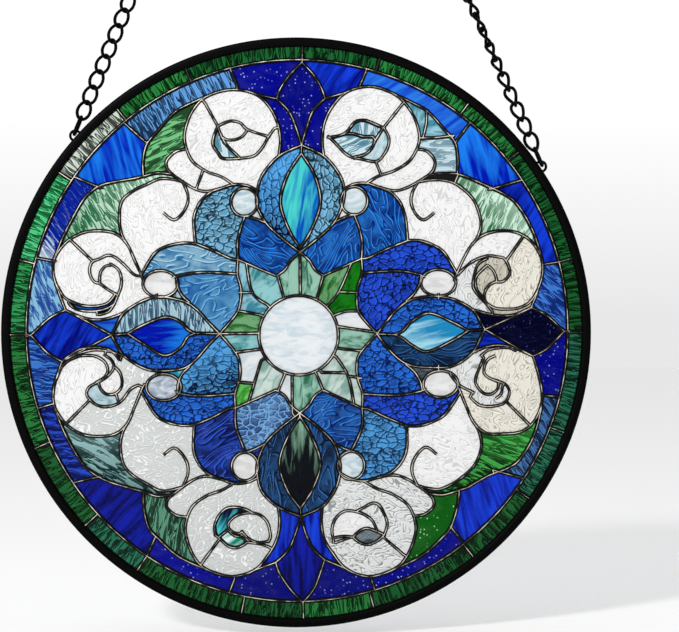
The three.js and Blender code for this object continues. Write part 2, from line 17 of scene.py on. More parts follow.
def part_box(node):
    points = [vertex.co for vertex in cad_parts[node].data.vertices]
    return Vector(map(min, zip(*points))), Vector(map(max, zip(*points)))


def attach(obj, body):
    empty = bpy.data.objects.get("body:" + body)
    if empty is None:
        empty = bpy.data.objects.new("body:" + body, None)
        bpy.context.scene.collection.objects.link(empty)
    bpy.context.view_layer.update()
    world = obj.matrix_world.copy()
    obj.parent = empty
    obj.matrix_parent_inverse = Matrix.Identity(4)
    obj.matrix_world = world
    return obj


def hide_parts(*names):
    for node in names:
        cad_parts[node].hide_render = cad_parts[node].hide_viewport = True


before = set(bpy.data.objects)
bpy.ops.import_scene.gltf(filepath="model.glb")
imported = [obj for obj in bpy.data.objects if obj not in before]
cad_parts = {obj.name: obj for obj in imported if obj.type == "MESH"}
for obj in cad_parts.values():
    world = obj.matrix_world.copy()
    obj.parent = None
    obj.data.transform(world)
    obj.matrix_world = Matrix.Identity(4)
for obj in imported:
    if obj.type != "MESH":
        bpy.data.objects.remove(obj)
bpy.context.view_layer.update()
MM = 0.001
print("CAD nodes:", len(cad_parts))

# %% [markdown]
# The rim is the one round thing everything else is set out from, so its box gives the middle of
# the drawing. The disc stands in the XZ plane, and a point of the drawing is (x, z) from there.

# %% Set out the panel
rim_low, rim_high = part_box("rim")
PANEL_MIDDLE = (rim_low + rim_high) / 2
PANEL_RADIUS = (rim_high.x - rim_low.x) / 2 / MM
RIM_HALF_DEPTH = (rim_high.y - rim_low.y) / 2 / MM
GLASS_HALF = (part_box("centre_disc")[1].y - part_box("centre_disc")[0].y) / 2 / MM
LEAD_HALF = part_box("lead_lines")[1].y / MM
RIM_INNER_RADIUS = 145.3
GLASS_RADIUS = 147.4
LEAD_WIDTH = 2.2


def in_place(flat, depth):
    """Points of the drawing, in millimetres, as places in the frame at these depths."""
    flat = np.asarray(flat, float)
    depth = np.broadcast_to(np.asarray(depth, float), flat.shape[:1])
    places = np.stack([flat[:, 0], depth, flat[:, 1]], axis=1)
    return places * MM + np.array(PANEL_MIDDLE)


print(f"panel radius {PANEL_RADIUS:.1f} mm, glass {2 * GLASS_HALF:.1f} mm thick")

# %% [markdown]
# The camera looks straight at the front, a little right of the middle, from far enough away that
# the disc stays round. The lens follows from how wide a view it takes in at that distance.

# %% Place the camera
VIEW_WIDTH = 345.7
VIEW_OFFSET = Vector((22.1, 0, 8.3)) * MM
CAMERA_DISTANCE = 1.25
SENSOR_WIDTH = 36
camera_data = bpy.data.cameras.new("camera")
camera_data.sensor_width = SENSOR_WIDTH
camera_data.lens = SENSOR_WIDTH * CAMERA_DISTANCE / (VIEW_WIDTH * MM)
camera = bpy.data.objects.new("camera", camera_data)
bpy.context.scene.collection.objects.link(camera)
camera.location = PANEL_MIDDLE + VIEW_OFFSET + Vector((0, -CAMERA_DISTANCE, 0))
camera.rotation_euler = (math.pi / 2, 0, 0)
bpy.context.scene.camera = camera
bpy.context.scene.view_settings.view_transform = "Standard"
print("camera at", [round(c, 3) for c in camera.location], "lens", round(camera_data.lens, 1))

# %% [markdown]
# Colours are written as sRGB hex codes, as a paint chart gives them. Shaders calculate with
# linear light, so one function turns them. Every pattern is a tree of nodes, and one small
# function adds a node to it, so that a finish reads as a short list of steps.

# %% Colours, materials and nodes
def linear(code):
    """An sRGB hex colour as the linear colour that shaders use."""
    levels = [int(code[i:i + 2], 16) / 255 for i in (1, 3, 5)]
    return [c / 12.92 if c <= 0.04045 else ((c + 0.055) / 1.055) ** 2.4 for c in levels] + [1.0]


def new_material(name):
    """A new material with its shader."""
    material = bpy.data.materials.new(name)
    material.use_nodes = True
    return material, material.node_tree.nodes["Principled BSDF"]


def node(tree, kind, inputs=None, **settings):
    """Adds a shader node with its settings, and sets or links its inputs.

    A node given as an input stands for its first output.
    """
    made = tree.nodes.new("ShaderNode" + kind)
    for name, value in settings.items():
        setattr(made, name, value)
    for name, value in (inputs or {}).items():
        if isinstance(value, bpy.types.Node):
            value = value.outputs[0]
        if isinstance(value, bpy.types.NodeSocket):
            tree.links.new(value, made.inputs[name])
        else:
            made.inputs[name].default_value = value
    return made


print("white as linear light:", linear("#ffffff"))

# %% [markdown]
# One soft lamp stands on the left in front, and throws the shadow back to the right. The room is
# white behind the panel, which lights the glass from the back, and dimmer behind the camera, so
# that the glass keeps its deep colours instead of mirroring a white wall. Near the horizon the
# room takes the floor's far tone, so that no edge shows between the two.

# %% Light the studio
LAMP_PLACE = Vector((-1.1, -2.5, 0.85))
LAMP_SIZE = 0.35
LAMP_POWER = 50
ROOM_STRENGTH = 1.05
lamp_data = bpy.data.lights.new("key_lamp", "AREA")
lamp_data.shape = "DISK"
lamp_data.size = LAMP_SIZE
lamp_data.energy = LAMP_POWER
lamp = bpy.data.objects.new("key_lamp", lamp_data)
bpy.context.scene.collection.objects.link(lamp)
lamp.location = LAMP_PLACE
lamp.rotation_euler = (PANEL_MIDDLE - LAMP_PLACE).to_track_quat("-Z", "Y").to_euler()

world = bpy.data.worlds.new("studio")
bpy.context.scene.world = world
world.use_nodes = True
sky = world.node_tree
sky.nodes.clear()
direction = node(sky, "TexCoord").outputs["Generated"]
compass = node(sky, "SeparateXYZ", {"Vector": direction})
# From the front to the back, from the walls to the ceiling, and up from the horizon.
ROOM_SHADES = [("Y", -0.35, 0.25, 0.3, 1.0), ("Z", 0.3, 0.9, 1.0, 1.2),
               ("Z", 0.0, 0.1, 0.77, 1.0)]
room = 1.0
for axis, start, end, shade_at_start, shade_at_end in ROOM_SHADES:
    shade = node(sky, "MapRange", {"Value": compass.outputs[axis], "From Min": start,
                                   "From Max": end, "To Min": shade_at_start,
                                   "To Max": shade_at_end})
    room = node(sky, "Math", {0: room, 1: shade}, operation="MULTIPLY")
glow = node(sky, "Background", {"Color": room, "Strength": ROOM_STRENGTH})
node(sky, "OutputWorld", {"Surface": glow})
print("lamp of", LAMP_POWER, "W, room in", len(ROOM_SHADES), "shades")

# %% [markdown]
# The floor is a wide sheet of matt white paper just under the panel. Paper scatters light evenly,
# so it has a high roughness and shows the shadow without a reflection.

# %% Lay the floor
FLOOR_GAP = 4 * MM
FLOOR_RADIUS = 5
FLOOR_DEPTH = 1.5
FLOOR_CORNERS = 64
bpy.ops.mesh.primitive_circle_add(vertices=FLOOR_CORNERS, radius=FLOOR_RADIUS, fill_type="NGON",
                                  location=(0, FLOOR_DEPTH, rim_low.z - FLOOR_GAP))
floor = bpy.context.object
floor.name = "floor"
paper, paper_shader = new_material("matt_white_paper")
paper_shader.inputs["Base Color"].default_value = linear("#fbfbfb")
paper_shader.inputs["Roughness"].default_value = 0.9
floor.data.materials.append(paper)
print("floor at", round(floor.location.z, 4))


# %% [markdown]
# A window maker cuts glass to a full-size drawing, the cartoon. Here the cartoon is a set of
# smooth curves through a few points. [u, v] is the distance out and up from the middle, in the
# upper right quarter. The other quarters mirror it, each with its own small drift, because the
# panel is drawn by hand. The same values shape the CAD solids.

# %% The main lead lines
PANE_LINES = {
    "top_surround": [[2, 40.6], [11.8, 48.4], [19.5, 56], [23.6, 65], [24.5, 73], [21.6, 81],
        [14, 89.8], [2.8, 95.2]],
    "side_surround": [[41.2, -0.8], [45.5, 4.8], [52, 12.2], [59, 16.7], [70, 18.3], [80, 16.8],
        [89.6, 11.7], [94, 5.2], [96, 1.5]],
    "top_jewel": [[2.1, 43], [7.7, 52], [12.4, 66], [9.4, 80], [2.7, 91]],
    "side_jewel": [[50.5, -1.2], [54.5, 0.9], [59.6, 6], [68, 9.7], [80, 5], [87.5, 0.8]],
    "top_jewel_stem": [[2, 40.6], [2.1, 43]],
    "side_jewel_stem": [[41.2, -0.8], [50.5, -1.2]],
    "upper_scroll": [[14, 89.8], [13.3, 98], [14.6, 107], [18.7, 115.2], [25.5, 122], [36, 125],
        [46, 123], [54, 118], [60, 109.5], [62.8, 100], [61.5, 93.2]],
    "scroll_base": [[24.5, 73], [29.6, 75.4], [36, 75.8], [43, 73.6], [50, 72], [56, 73.4],
        [62, 76.5], [67.5, 80]],
    "bean": [[61.5, 93.2], [66.6, 92], [70.4, 87.5], [70, 83], [67.5, 80]],
    "shoulder": [[67.5, 80], [75, 80.8], [82, 80.6]],
    "leaf_back": [[86.5, 79.2], [97, 74.5], [106, 70.2], [112, 65.6], [118, 56.5], [122, 47.5],
        [125.2, 37]],
    "band_foot": [[46, 123], [59, 116.8], [67.3, 112], [75.5, 103], [80.9, 96.5], [82.3, 88],
        [82, 80.6]],
    "petal_foot": [[2, 40.6], [6.6, 36.8], [9.6, 32], [13.8, 28.9]],
    "star_edge": [[13.8, 28.9], [20.9, 32], [33.3, 37.5]],
    "first_petals": [[29.5, 59.8], [32, 53.5], [33.6, 46], [33.3, 37.5]],
    "petal_tip": [[29.5, 59.8], [25.5, 58.7], [19.8, 56.2]],
    "second_petal": [[43, 73.6], [48.5, 71], [53.2, 65.5], [55.7, 58], [56.8, 46.7]],
    "second_petals": [[33.3, 37.5], [37, 38], [46, 42.3], [56.8, 46.7]],
    "third_petal": [[56.8, 46.7], [63, 46.6], [70, 44.2], [75.5, 40.3], [81.8, 30]],
    "third_petals": [[33.8, 30.2], [48.2, 31.2], [56.3, 30.8], [63.5, 29.2]],
    "star_side": [[33.3, 37.5], [33.6, 30.2], [31.4, 22.9], [30.9, 16.5], [32.4, 9.5], [41.2, -0.8]],
    "fourth_petal": [[63.6, 29], [62.8, 24.6], [60, 19.7], [56, 16]],
    "lobe_back": [[62, 76.5], [68, 77.4], [74, 77.4], [80, 76], [86, 72], [91, 66], [94, 56],
        [92.5, 49], [89.6, 44.8]],
    "lobe_curl": [[62, 76.5], [59, 70.8], [58.6, 65.5], [61, 60], [65, 57.2], [70.3, 60.8]],
    "side_scroll": [[81.8, 30], [85.2, 37.4], [89.6, 44.8], [96, 49.8], [104.6, 51.6], [113, 50.4],
        [120, 45.8], [124.6, 38], [125.3, 30], [122.8, 21], [119.6, 12.6]],
    "side_scroll_root": [[81.8, 30], [80.4, 26.4]],
    "side_pearl_heel": [[63.6, 29], [65.5, 28.2]],
    "side_pearl_seat": [[72.4, 20], [72.4, 17]],
    "top_jewel_tip": [[2.7, 91], [2.8, 95.2]],
    "side_jewel_tip": [[87.5, 0.8], [96, 1.5]],
    "side_scroll_foot": [[89.6, 11.7], [97, 9.6], [104, 8.5], [111, 9], [119.6, 12.6]],
    "top_diamond": [[3, 137.3], [9, 130.8], [13, 124], [14.7, 118.9]],
    "top_diamond_foot": [[14.7, 118.9], [8.6, 112.5], [5.4, 104], [2.8, 95.2]],
    "side_diamond": [[139, 0.5], [136.5, 0.5], [127.5, 8.6], [119.6, 12.6]],
    "side_diamond_foot": [[119.6, 12.6], [110, 7.8], [96, 1.5]],
    "band_foot_start": [[14.7, 118.9], [25.5, 122]],
    "shoulder_neck": [[82, 80.6], [86.5, 79.2]],
    "bean_back": [[61.5, 93.2], [57.5, 87], [50, 82.2], [42, 79.5], [36, 75.8]],
}
print(len(PANE_LINES), "main lines")

# %% [markdown]
# Each row of the drift holds a point of the upper right quarter and how far the same point lies
# off in the upper left, the lower left and the lower right one. Between them the drift is
# blended, so that a whole line moves with its ends.

# %% The drift of the other quarters
DRIFT = [
    [[2, 40.6], [-4, 0], [-3.9, 0.4], [-0.1, 0.4]],
    [[41.2, -0.8], [-2.4, 0.1], [-2.4, 1.5], [0, 1.6]],
    [[2.1, 43], [-4.2, 0], [-4, 0], [0, 0]],
    [[2.7, 91], [-5.4, 0], [-4.9, -1.5], [-0.5, -1.5]],
    [[2.8, 95.2], [-5.6, 0], [-5.2, -1.5], [-0.4, -1.5]],
    [[50.5, -1.2], [1, 0.7], [1, 1.7], [0, 2.4]],
    [[87.5, 0.8], [-2, -1.5], [-2, -0.1], [0, -1.6]],
    [[96, 1.5], [-2.2, -2.9], [-2.2, -0.1], [0, -3]],
    [[3, 137.3], [-6, 0], [-6.5, 0.1], [0.5, 0.1]],
    [[136.5, 0.5], [-1.5, -2], [-1.5, 1], [0, -1]],
    [[14.7, 118.9], [-4.9, -0.2], [-4.4, -1.9], [-0.2, -3.3]],
    [[119.6, 12.6], [-2.4, -1.3], [-0.6, 2.2], [0.9, -0.5]],
    [[12.4, 66], [-4.5, 0], [-4, 0], [0, 0]],
    [[68, 9.7], [-1.6, -2], [-1, 2], [-1, 0.1]],
    [[24.5, 73], [-4.8, -0.8], [-5, 0.9], [-2.2, -1.6]],
    [[70, 18.3], [-1, -0.2], [-1, 1.3], [0, -0.4]],
    [[29.6, 66.7], [-3.3, -0.7], [-3.6, 1.3], [-1.6, 0.8]],
    [[72.4, 25.2], [-3.4, -0.6], [-5.1, 2.7], [1.1, 1.1]],
    [[33.3, 37.5], [-3.8, -0.5], [-2.5, 1], [0.3, 1.2]],
    [[56.8, 46.7], [-5.6, -1.5], [-5, 0.5], [-0.4, 0.9]],
    [[81.8, 30], [-3, -0.6], [-3, -0.2], [1.8, 0.4]],
    [[38, 100], [-5, -0.8], [-4.7, -0.6], [0.2, -0.4]],
    [[62.8, 100], [-6, 0], [-6.5, 0.5], [-1.8, 0]],
    [[36, 125], [-4.6, -1.6], [-4.6, -0.9], [0, -0.9]],
    [[104.6, 51.6], [-4.3, 0], [-4.3, 1.3], [1.6, 0]],
    [[125.3, 30], [-1.9, 0], [-1.9, 0], [-0.3, 0]],
    [[94, 56], [-4.2, 0.6], [-4.6, 2], [0.3, 2]],
    [[65, 57.2], [-2.6, 0], [-2.6, 1.6], [1.4, 1.2]],
    [[73, 77.4], [-4.5, 0.6], [-4.5, 3], [-0.4, 2.2]],
    [[82, 80.6], [-4.4, -1.2], [-4.4, 0.4], [1, -0.4]],
    [[97, 74.5], [1, 0.7], [-2, 1.5], [0.5, -1.5]],
    [[80.9, 96.5], [-5, -0.9], [-6, 3], [-2.4, 3]],
]
print(len(DRIFT), "rows of drift")

# %% [markdown]
# The pearls and the two rings are ovals. The bars across the border stand at an azimuth, in
# degrees clockwise from the top. Those across the cobalt ring lean, so each has an azimuth and a
# radius at either end.

# %% Pearls, rings and bars
PEARLS = {"upper_pearl": ((29.6, 66.9), (6.8, 7.2)), "side_pearl": ((72.4, 25.2), (8.9, 6.8))}
RINGS = {"border_line": ((0.5, 0.9), 137.7), "centre_line": ((1.3, -1.5), 20.2)}
BORDER_BARS = [1.3, 17, 37, 51, 75, 90, 110.5, 125.5, 141.7, 164.2, 178.5, 191, 213.7, 227.5,
               246, 269.5, 284.7, 304, 321.3, 337.3]
RING_BARS = [
    (14.5, 129.5, 15, 137.4), (40, 126, 39.7, 138.6), (53.5, 122, 56, 138.4),
    (74.6, 129.5, 75, 138.4), (104.3, 130, 103.7, 137.8), (125, 122, 122.7, 137.4),
    (141.5, 126, 141.5, 136.8), (163, 130, 163, 136.8), (194, 129.5, 194.4, 136.6),
    (214.5, 126, 213.7, 136.8), (233.5, 123, 236, 136.8), (253.6, 128, 253.6, 137),
    (286.4, 127, 286, 137.4), (306.5, 123, 305, 138), (321.6, 124, 320.6, 138),
    (346.6, 129, 346, 137.4)]
print(len(PEARLS) * 4, "pearls,", len(BORDER_BARS), "border bars,", len(RING_BARS), "ring bars")

# %% [markdown]
# The scrolls were drawn freely, so each quarter has its own strokes: an eye, the crescents round
# it, and the spokes that let one curved pane be cut as two. So have the small star tiles.

# %% The strokes of the upper right quarter
STROKES = {"upper_right": [
    # upper scroll: eye, crescents, spokes
    [[16, 99], [24.5, 101], [29.8, 106.8], [34.5, 107.9], [39, 106.4], [44.5, 104]],
    [[24.5, 101], [29, 101], [34.5, 99.5], [39, 99.5], [40.2, 97.5]],
    [[40.2, 97.5], [43.7, 103]],
    [[44.8, 103.7], [47.2, 99], [46.8, 94.5], [44.5, 90.2], [40.6, 86.8], [32.2, 88.3],
     [28.3, 89], [24.5, 91.4], [19, 97.2], [16.4, 99.5]],
    [[40.2, 97.5], [38.3, 93.3], [34.5, 90.2], [29.8, 89.2]],
    [[44.5, 104], [54, 116]],
    [[40.6, 86.8], [43, 80.6]],
    # side scroll
    [[82.3, 29.5], [89.2, 35.7], [96.9, 38.8], [102.3, 38.4], [106.2, 37.2], [108.8, 31],
     [107.3, 27.6], [104.6, 25.7], [101.5, 25.7]],
    [[97.3, 34.2], [100, 31.8], [101.5, 28.8], [101.9, 26.5]],
    [[97.3, 37.6], [92.3, 34.2], [90, 25], [91.5, 20.3], [97.7, 13.4], [100, 10.3]],
    [[95.4, 32.6], [91.9, 28.8], [91.2, 24.9], [92.3, 21], [95.4, 17.6]],
    [[101.5, 25.7], [98.5, 24.2], [96.2, 21], [95.8, 17.2], [97.7, 14.2], [101.5, 12.2],
     [106.2, 11.8], [112.3, 12.2], [117.7, 14.5], [121.5, 18.8], [123.8, 24.2]],
    [[106.9, 36.5], [115, 48]],
    # leaves
    [[66.4, 112], [66.2, 106], [64.5, 98.8]],
    [[63.6, 98.8], [71.8, 99.1], [80.5, 100.2]],
    [[82.6, 80.6], [80.6, 75.8]],
    # star tiles
    [[2.2, 18.7], [2, 40.6]], [[10.6, 17], [13.8, 28.9]],
    [[15.5, 13], [21.8, 20.6], [28.2, 35.4]], [[21.8, 20.6], [31.4, 20.2]],
    [[20, 9], [25.5, 10.7], [31.6, 10.8]], [[21.4, 2.9], [41.2, 0]],
]}
print(len(STROKES["upper_right"]), "strokes")

# %% [markdown]
# The upper left quarter has the same parts, drawn anew. Its leaf isn't divided, and five lines
# part the star's tiles where the upper right has six.

# %% The strokes of the upper left quarter
STROKES["upper_left"] = [
    [[14, 99.5], [24.5, 103], [28.3, 106.4], [33, 107.5], [37.5, 106], [39.8, 104.8]],
    [[11, 103.7], [14, 99.5], [16.8, 94.5], [20.6, 90.2], [26, 88.7], [36.8, 88.3],
     [39.8, 91.4], [42.2, 95.2], [41.8, 99.8], [39.8, 104.8]],
    [[25.2, 102.2], [27.5, 99.5], [31.4, 97.9], [35.2, 97.9], [37.2, 99]],
    [[39.8, 104.8], [38.3, 100.6], [35.2, 95.2], [29, 89.2]],
    [[39.8, 104.8], [46, 116]],
    [[47.5, 81.8], [50.2, 74.5]],
    [[79.2, 28.5], [82.6, 29.5], [87.2, 34.2], [91.8, 38], [95.7, 39.2], [100.3, 37.2], [103.4, 36],
     [105, 32.6], [104.5, 28.8], [102.6, 25.7], [99.9, 24.9]],
    [[94.5, 35], [90.3, 31.8], [88.8, 27.2], [89.2, 22.6], [90.7, 18.8], [92.6, 14.2],
     [95.7, 10.3], [101, 8.8]],
    [[94.5, 34.2], [97.2, 33.4], [99.5, 30.3], [99.9, 24.9]],
    [[99.9, 24.9], [95.7, 21.8], [90.7, 18.8]],
    [[92.6, 18.4], [95.7, 14.9], [101, 13.4], [107.2, 13.4], [112.6, 14.9], [118, 18],
     [121.8, 24.2]],
    [[92.6, 14.2], [97.2, 11.8], [104.2, 10.7], [111.8, 11.8], [115.7, 14.9]],
    [[103.8, 36.5], [115, 47.2]],
    [[6.5, 18.5], [9.4, 29]], [[14.6, 14], [22.2, 20.2], [25.2, 34.8]],
    [[22.2, 20.2], [29.4, 20.2]], [[18, 8.8], [29.6, 11]], [[18.8, -0.6], [38.8, -0.7]],
]
print(len(STROKES["upper_left"]), "strokes")

# %% [markdown]
# The lower left quarter has six lines between the tiles again. Its upper scroll has eight
# strokes, the most of the four.

# %% The strokes of the lower left quarter
STROKES["lower_left"] = [
    [[14, 109], [19, 107.5], [24.5, 106.8]],
    [[25.2, 107.2], [29.8, 109.5], [34.5, 108.7], [39, 104.8], [41, 103]],
    [[14, 106.3], [13, 104], [13.3, 101.4], [14.5, 96.8], [18.3, 92.9], [23.7, 91.8],
     [29.8, 92.9], [33.7, 96], [34.5, 98.7], [32.5, 101.4], [29, 102.3], [27.5, 101.4]],
    [[14, 106.3], [19.8, 106.8], [24.5, 104.5], [27.5, 101.4]],
    [[25.2, 106.8], [27.5, 104.1], [31.4, 103.3], [35.2, 99.8]],
    [[41, 103], [41.4, 98.3], [39, 92.9], [35.2, 89.5], [29.8, 89], [25.2, 90.2],
     [21.5, 92.2]],
    [[39, 105.2], [48, 117.5]], [[39.6, 104.4], [34, 99.9]],
    [[80.3, 26.8], [84.2, 29], [88, 34], [91.8, 36.8], [97.2, 37.9], [101.8, 36.8],
     [105, 34], [106.5, 31.4], [105.3, 27.9], [100.3, 25.2]],
    [[100.3, 26], [99.2, 29], [96.5, 31.4], [92.6, 31.4], [89.5, 29], [88.4, 25.2],
     [89.5, 20.6], [91.8, 17.9]],
    [[91.6, 31.2], [90.2, 35.6]],
    [[100.3, 25.2], [96.5, 22.9], [93.4, 19.5], [92.6, 16.8], [94.2, 13.7], [97.2, 11.8]],
    [[101.8, 25.6], [97.2, 22.5], [95.7, 19], [97.2, 15.2], [100.3, 12.9], [104.2, 11.8],
     [110.3, 12.2], [115.7, 14.5], [119.5, 18.3], [121.8, 23.7]],
    [[89.5, 14.5], [93.4, 9.8], [98.8, 7.9], [105, 7.9], [111, 9.1], [118.8, 14.5]],
    [[105, 34.5], [116, 45.6]],
    [[2, 22.5], [1.9, 41]], [[5.8, 21.5], [9.2, 30]],
    [[17.8, 14.5], [21.3, 26], [24.3, 36]], [[21.3, 26], [31, 25.2]],
    [[18.8, 8.6], [30.2, 10.1]], [[18.8, 0.4], [38.8, 0.7]],
]
print(len(STROKES["lower_left"]), "strokes")

# %% [markdown]
# The lower right quarter has seven strokes in either scroll, and five lines between the tiles.

# %% The strokes of the lower right quarter
STROKES["lower_right"] = [
    [[19, 107.2], [28.3, 104.1]],
    [[29, 104.1], [32.2, 106.8], [36.8, 107.9], [41.4, 106], [44.5, 103.3]],
    [[29, 104.1], [32.2, 101], [36, 99.6], [40.6, 101], [44, 102.5]],
    [[18.7, 104.5], [18.3, 99.8], [20.2, 94.5], [24.5, 91], [29.8, 91], [35.2, 92.9],
     [39, 96], [41, 100.6]],
    [[19, 104.5], [24.5, 103.7], [29, 104.1]],
    [[44.8, 103], [46.4, 97.5], [44.8, 92.2], [42.2, 87.9], [39, 86.8], [34.5, 89],
     [31.4, 90.6]],
    [[44.8, 104.5], [54.5, 112.9]],
    [[88.5, 32.9], [90.8, 35.2], [93.8, 37.2], [98.5, 37.7], [103.8, 36.8],
     [106.9, 34.8], [108.5, 30.6], [106.9, 26.8], [102.3, 24.8]],
    [[78.5, 21.4], [83, 26.8], [88.5, 29.8], [90.8, 31]],
    [[103, 26], [102.3, 29], [99.2, 31.4], [95.4, 31], [92.7, 28.3], [91.2, 25.2],
     [91.9, 21.4], [93.8, 16.8], [95.4, 12.9]],
    [[102.3, 24.8], [98.5, 23.3], [95.8, 21], [95.8, 17.2], [97.7, 13.7], [101.5, 11.8]],
    [[101.5, 33.7], [104.2, 31.4], [105, 27.5]],
    [[93.8, 12.2], [97.7, 9.1], [103, 7.9], [108.5, 7.9], [111.5, 9.5]],
    [[106.9, 35.2], [117.7, 46]],
    [[10.5, 21.5], [14, 30]], [[20.4, 12.5], [26.4, 22.2], [29.4, 36]],
    [[13, 20.4], [25.3, 20.6]], [[26.4, 22.2], [33.6, 23.2]], [[21.6, 8.2], [32.8, 9.4]],
]
print(len(STROKES["lower_right"]), "strokes")

# %% [markdown]
# A line drawn for glass bends evenly from point to point, as a cutter has to follow it. A
# Catmull-Rom curve does the same: it passes through every point, and needs no handles.

# %% Smooth curves
QUARTERS = {"upper_right": (1, 1, 0), "upper_left": (-1, 1, 1),
            "lower_left": (-1, -1, 2), "lower_right": (1, -1, 3)}
CURVE_STEP = 1.1


def drifted(quarter, point):
    """A point of the drawing in its quarter, with the quarter's own drift."""
    side, up, column = QUARTERS[quarter]
    shift = np.zeros(2)
    if column:
        weights = [1 / (math.dist(point, row[0]) ** 3 + 1e-6) for row in DRIFT]
        shift = np.average([row[column] for row in DRIFT], axis=0, weights=weights)
    return (np.array(point) + shift) * (side, up)


def polar(azimuth, radius):
    """The place at this azimuth, in degrees clockwise from the top."""
    return radius * np.array([math.sin(math.radians(azimuth)), math.cos(math.radians(azimuth))])


def smooth(points):
    """A Catmull-Rom curve through the points, sampled about every CURVE_STEP millimetres."""
    points = np.array(points, float)
    if len(points) == 2:
        count = max(2, round(math.dist(*points) / CURVE_STEP))
        return points[0] + np.linspace(0, 1, count + 1)[:, None] * (points[1] - points[0])
    padded = np.vstack([points[0], points, points[-1]])
    line = [points[:1]]
    for before, start, end, after in zip(padded, padded[1:], padded[2:], padded[3:]):
        t = np.linspace(0, 1, max(2, round(math.dist(start, end) / CURVE_STEP)) + 1)[1:, None]
        first, last = (end - before) / 2, (after - start) / 2
        line.append((2 * start - 2 * end + first + last) * t ** 3
                    + (3 * end - 3 * start - 2 * first - last) * t ** 2 + first * t + start)
    return np.vstack(line)


def oval(middle, half_u, half_v, step=CURVE_STEP):
    """A closed oval, sampled about every step millimetres."""
    count = max(12, round(2 * math.pi * max(half_u, half_v) / step))
    turn = np.linspace(0, 2 * math.pi, count + 1)
    return np.array(middle) + np.stack([half_u * np.cos(turn), half_v * np.sin(turn)], axis=1)


print("top of the panel:", polar(0, PANEL_RADIUS).round(1))

# %% [markdown]
# Each quarter gets the main lines, moved by its drift, and its own strokes. The bars are straight,
# and the rings and the pearls close on themselves.

# %% Draw every line
BORDER_FOOT = 137.6
EDGE_OVERSHOOT = 0.5
LINES = []
for quarter, (side, up, column) in QUARTERS.items():
    for points in PANE_LINES.values():
        LINES.append(smooth([drifted(quarter, p) for p in points]))
    for points in STROKES[quarter]:
        LINES.append(smooth([(side * u, up * v) for u, v in points]))
for azimuth in BORDER_BARS:
    LINES.append(smooth([polar(azimuth, BORDER_FOOT),
                         polar(azimuth, GLASS_RADIUS + EDGE_OVERSHOOT)]))
for inner_azimuth, inner_radius, outer_azimuth, outer_radius in RING_BARS:
    LINES.append(smooth([polar(inner_azimuth, inner_radius), polar(outer_azimuth, outer_radius)]))
LOOPS = [oval(middle, radius, radius) for middle, radius in RINGS.values()]
for quarter in QUARTERS:
    for middle, half in PEARLS.values():
        LOOPS.append(oval(drifted(quarter, middle), *half))
print(len(LINES), "lines and", len(LOOPS), "loops")

# %% [markdown]
# Where one line runs into another, their solder flows together, so every end that comes close to
# another line is carried on to meet it. The places where they meet are kept: each gets a rounded
# blob of solder.

# %% Bring the ends together
REACH = 3.0


def nearest(point, line):
    """The nearest place to the point on a line, and its distance."""
    start, along = line[:-1], line[1:] - line[:-1]
    share = ((point - start) * along).sum(1) / np.maximum((along ** 2).sum(1), 1e-9)
    places = start + np.clip(share, 0, 1)[:, None] * along
    distances = np.hypot(*(places - point).T)
    best = distances.argmin()
    return places[best], distances[best]


JOINTS = []
for index, line in enumerate(LINES):
    others = LINES[:index] + LINES[index + 1:] + LOOPS
    for end in (0, -1):
        place, distance = min((nearest(line[end], other) for other in others), key=lambda p: p[1])
        if distance < REACH:
            JOINTS.append(place)
            line = np.vstack([place, line] if end == 0 else [line, place])
    LINES[index] = line
print(len(JOINTS), "soldered ends")

# %% [markdown]
# The drawing is now cut along its lines. A Delaunay triangulation keeps every line as edges, and
# triangles that touch across any other edge belong to one pane. A grid of extra points inside the
# panes gives each its own rolled surface later.

# %% Cut the sheet along the lines
GRID = 1.7
GRID_CLEARANCE = 0.8
CELL = 2
SNAP = 1e-4
points, edges = [], []
for line in LINES + LOOPS + [oval((0, 0), GLASS_RADIUS, GLASS_RADIUS, 2)]:
    edges += [(len(points) + i, len(points) + i + 1) for i in range(len(line) - 1)]
    points += list(line)
line_points = np.array(points)
steps = np.arange(-GLASS_RADIUS, GLASS_RADIUS, GRID)
across, upward = np.meshgrid(steps, steps)
across[::2] += GRID / 2
grid = np.stack([across.ravel(), upward.ravel()], axis=1)
grid = grid[np.hypot(*grid.T) < GLASS_RADIUS - GRID]
cells = {}
for place in line_points:
    cells.setdefault((round(place[0] / CELL), round(place[1] / CELL)), []).append(place)


def clear_of_lines(place):
    """True if no drawn line passes close by. Only the cells around the place are searched."""
    column, row = round(place[0] / CELL), round(place[1] / CELL)
    near = [p for i in (-1, 0, 1) for j in (-1, 0, 1) for p in cells.get((column + i, row + j), ())]
    return not near or min(np.hypot(*(np.array(near) - place).T)) > GRID_CLEARANCE


grid = [place for place in grid if clear_of_lines(place)]
cut = delaunay_2d_cdt([Vector(p) for p in points + grid], edges, [], 0, SNAP)
spots = np.array([tuple(v) for v in cut[0]])
walls = {tuple(sorted(edge)) for edge, source in zip(cut[1], cut[4]) if source}
triangles = [tuple(face) for face in cut[2]]
print(len(spots), "points,", len(triangles), "triangles,", len(walls), "wall edges")

# %% [markdown]
# A pane is everything that can be reached from one triangle without crossing a line. Triangles
# are gathered from neighbour to neighbour until none is left.

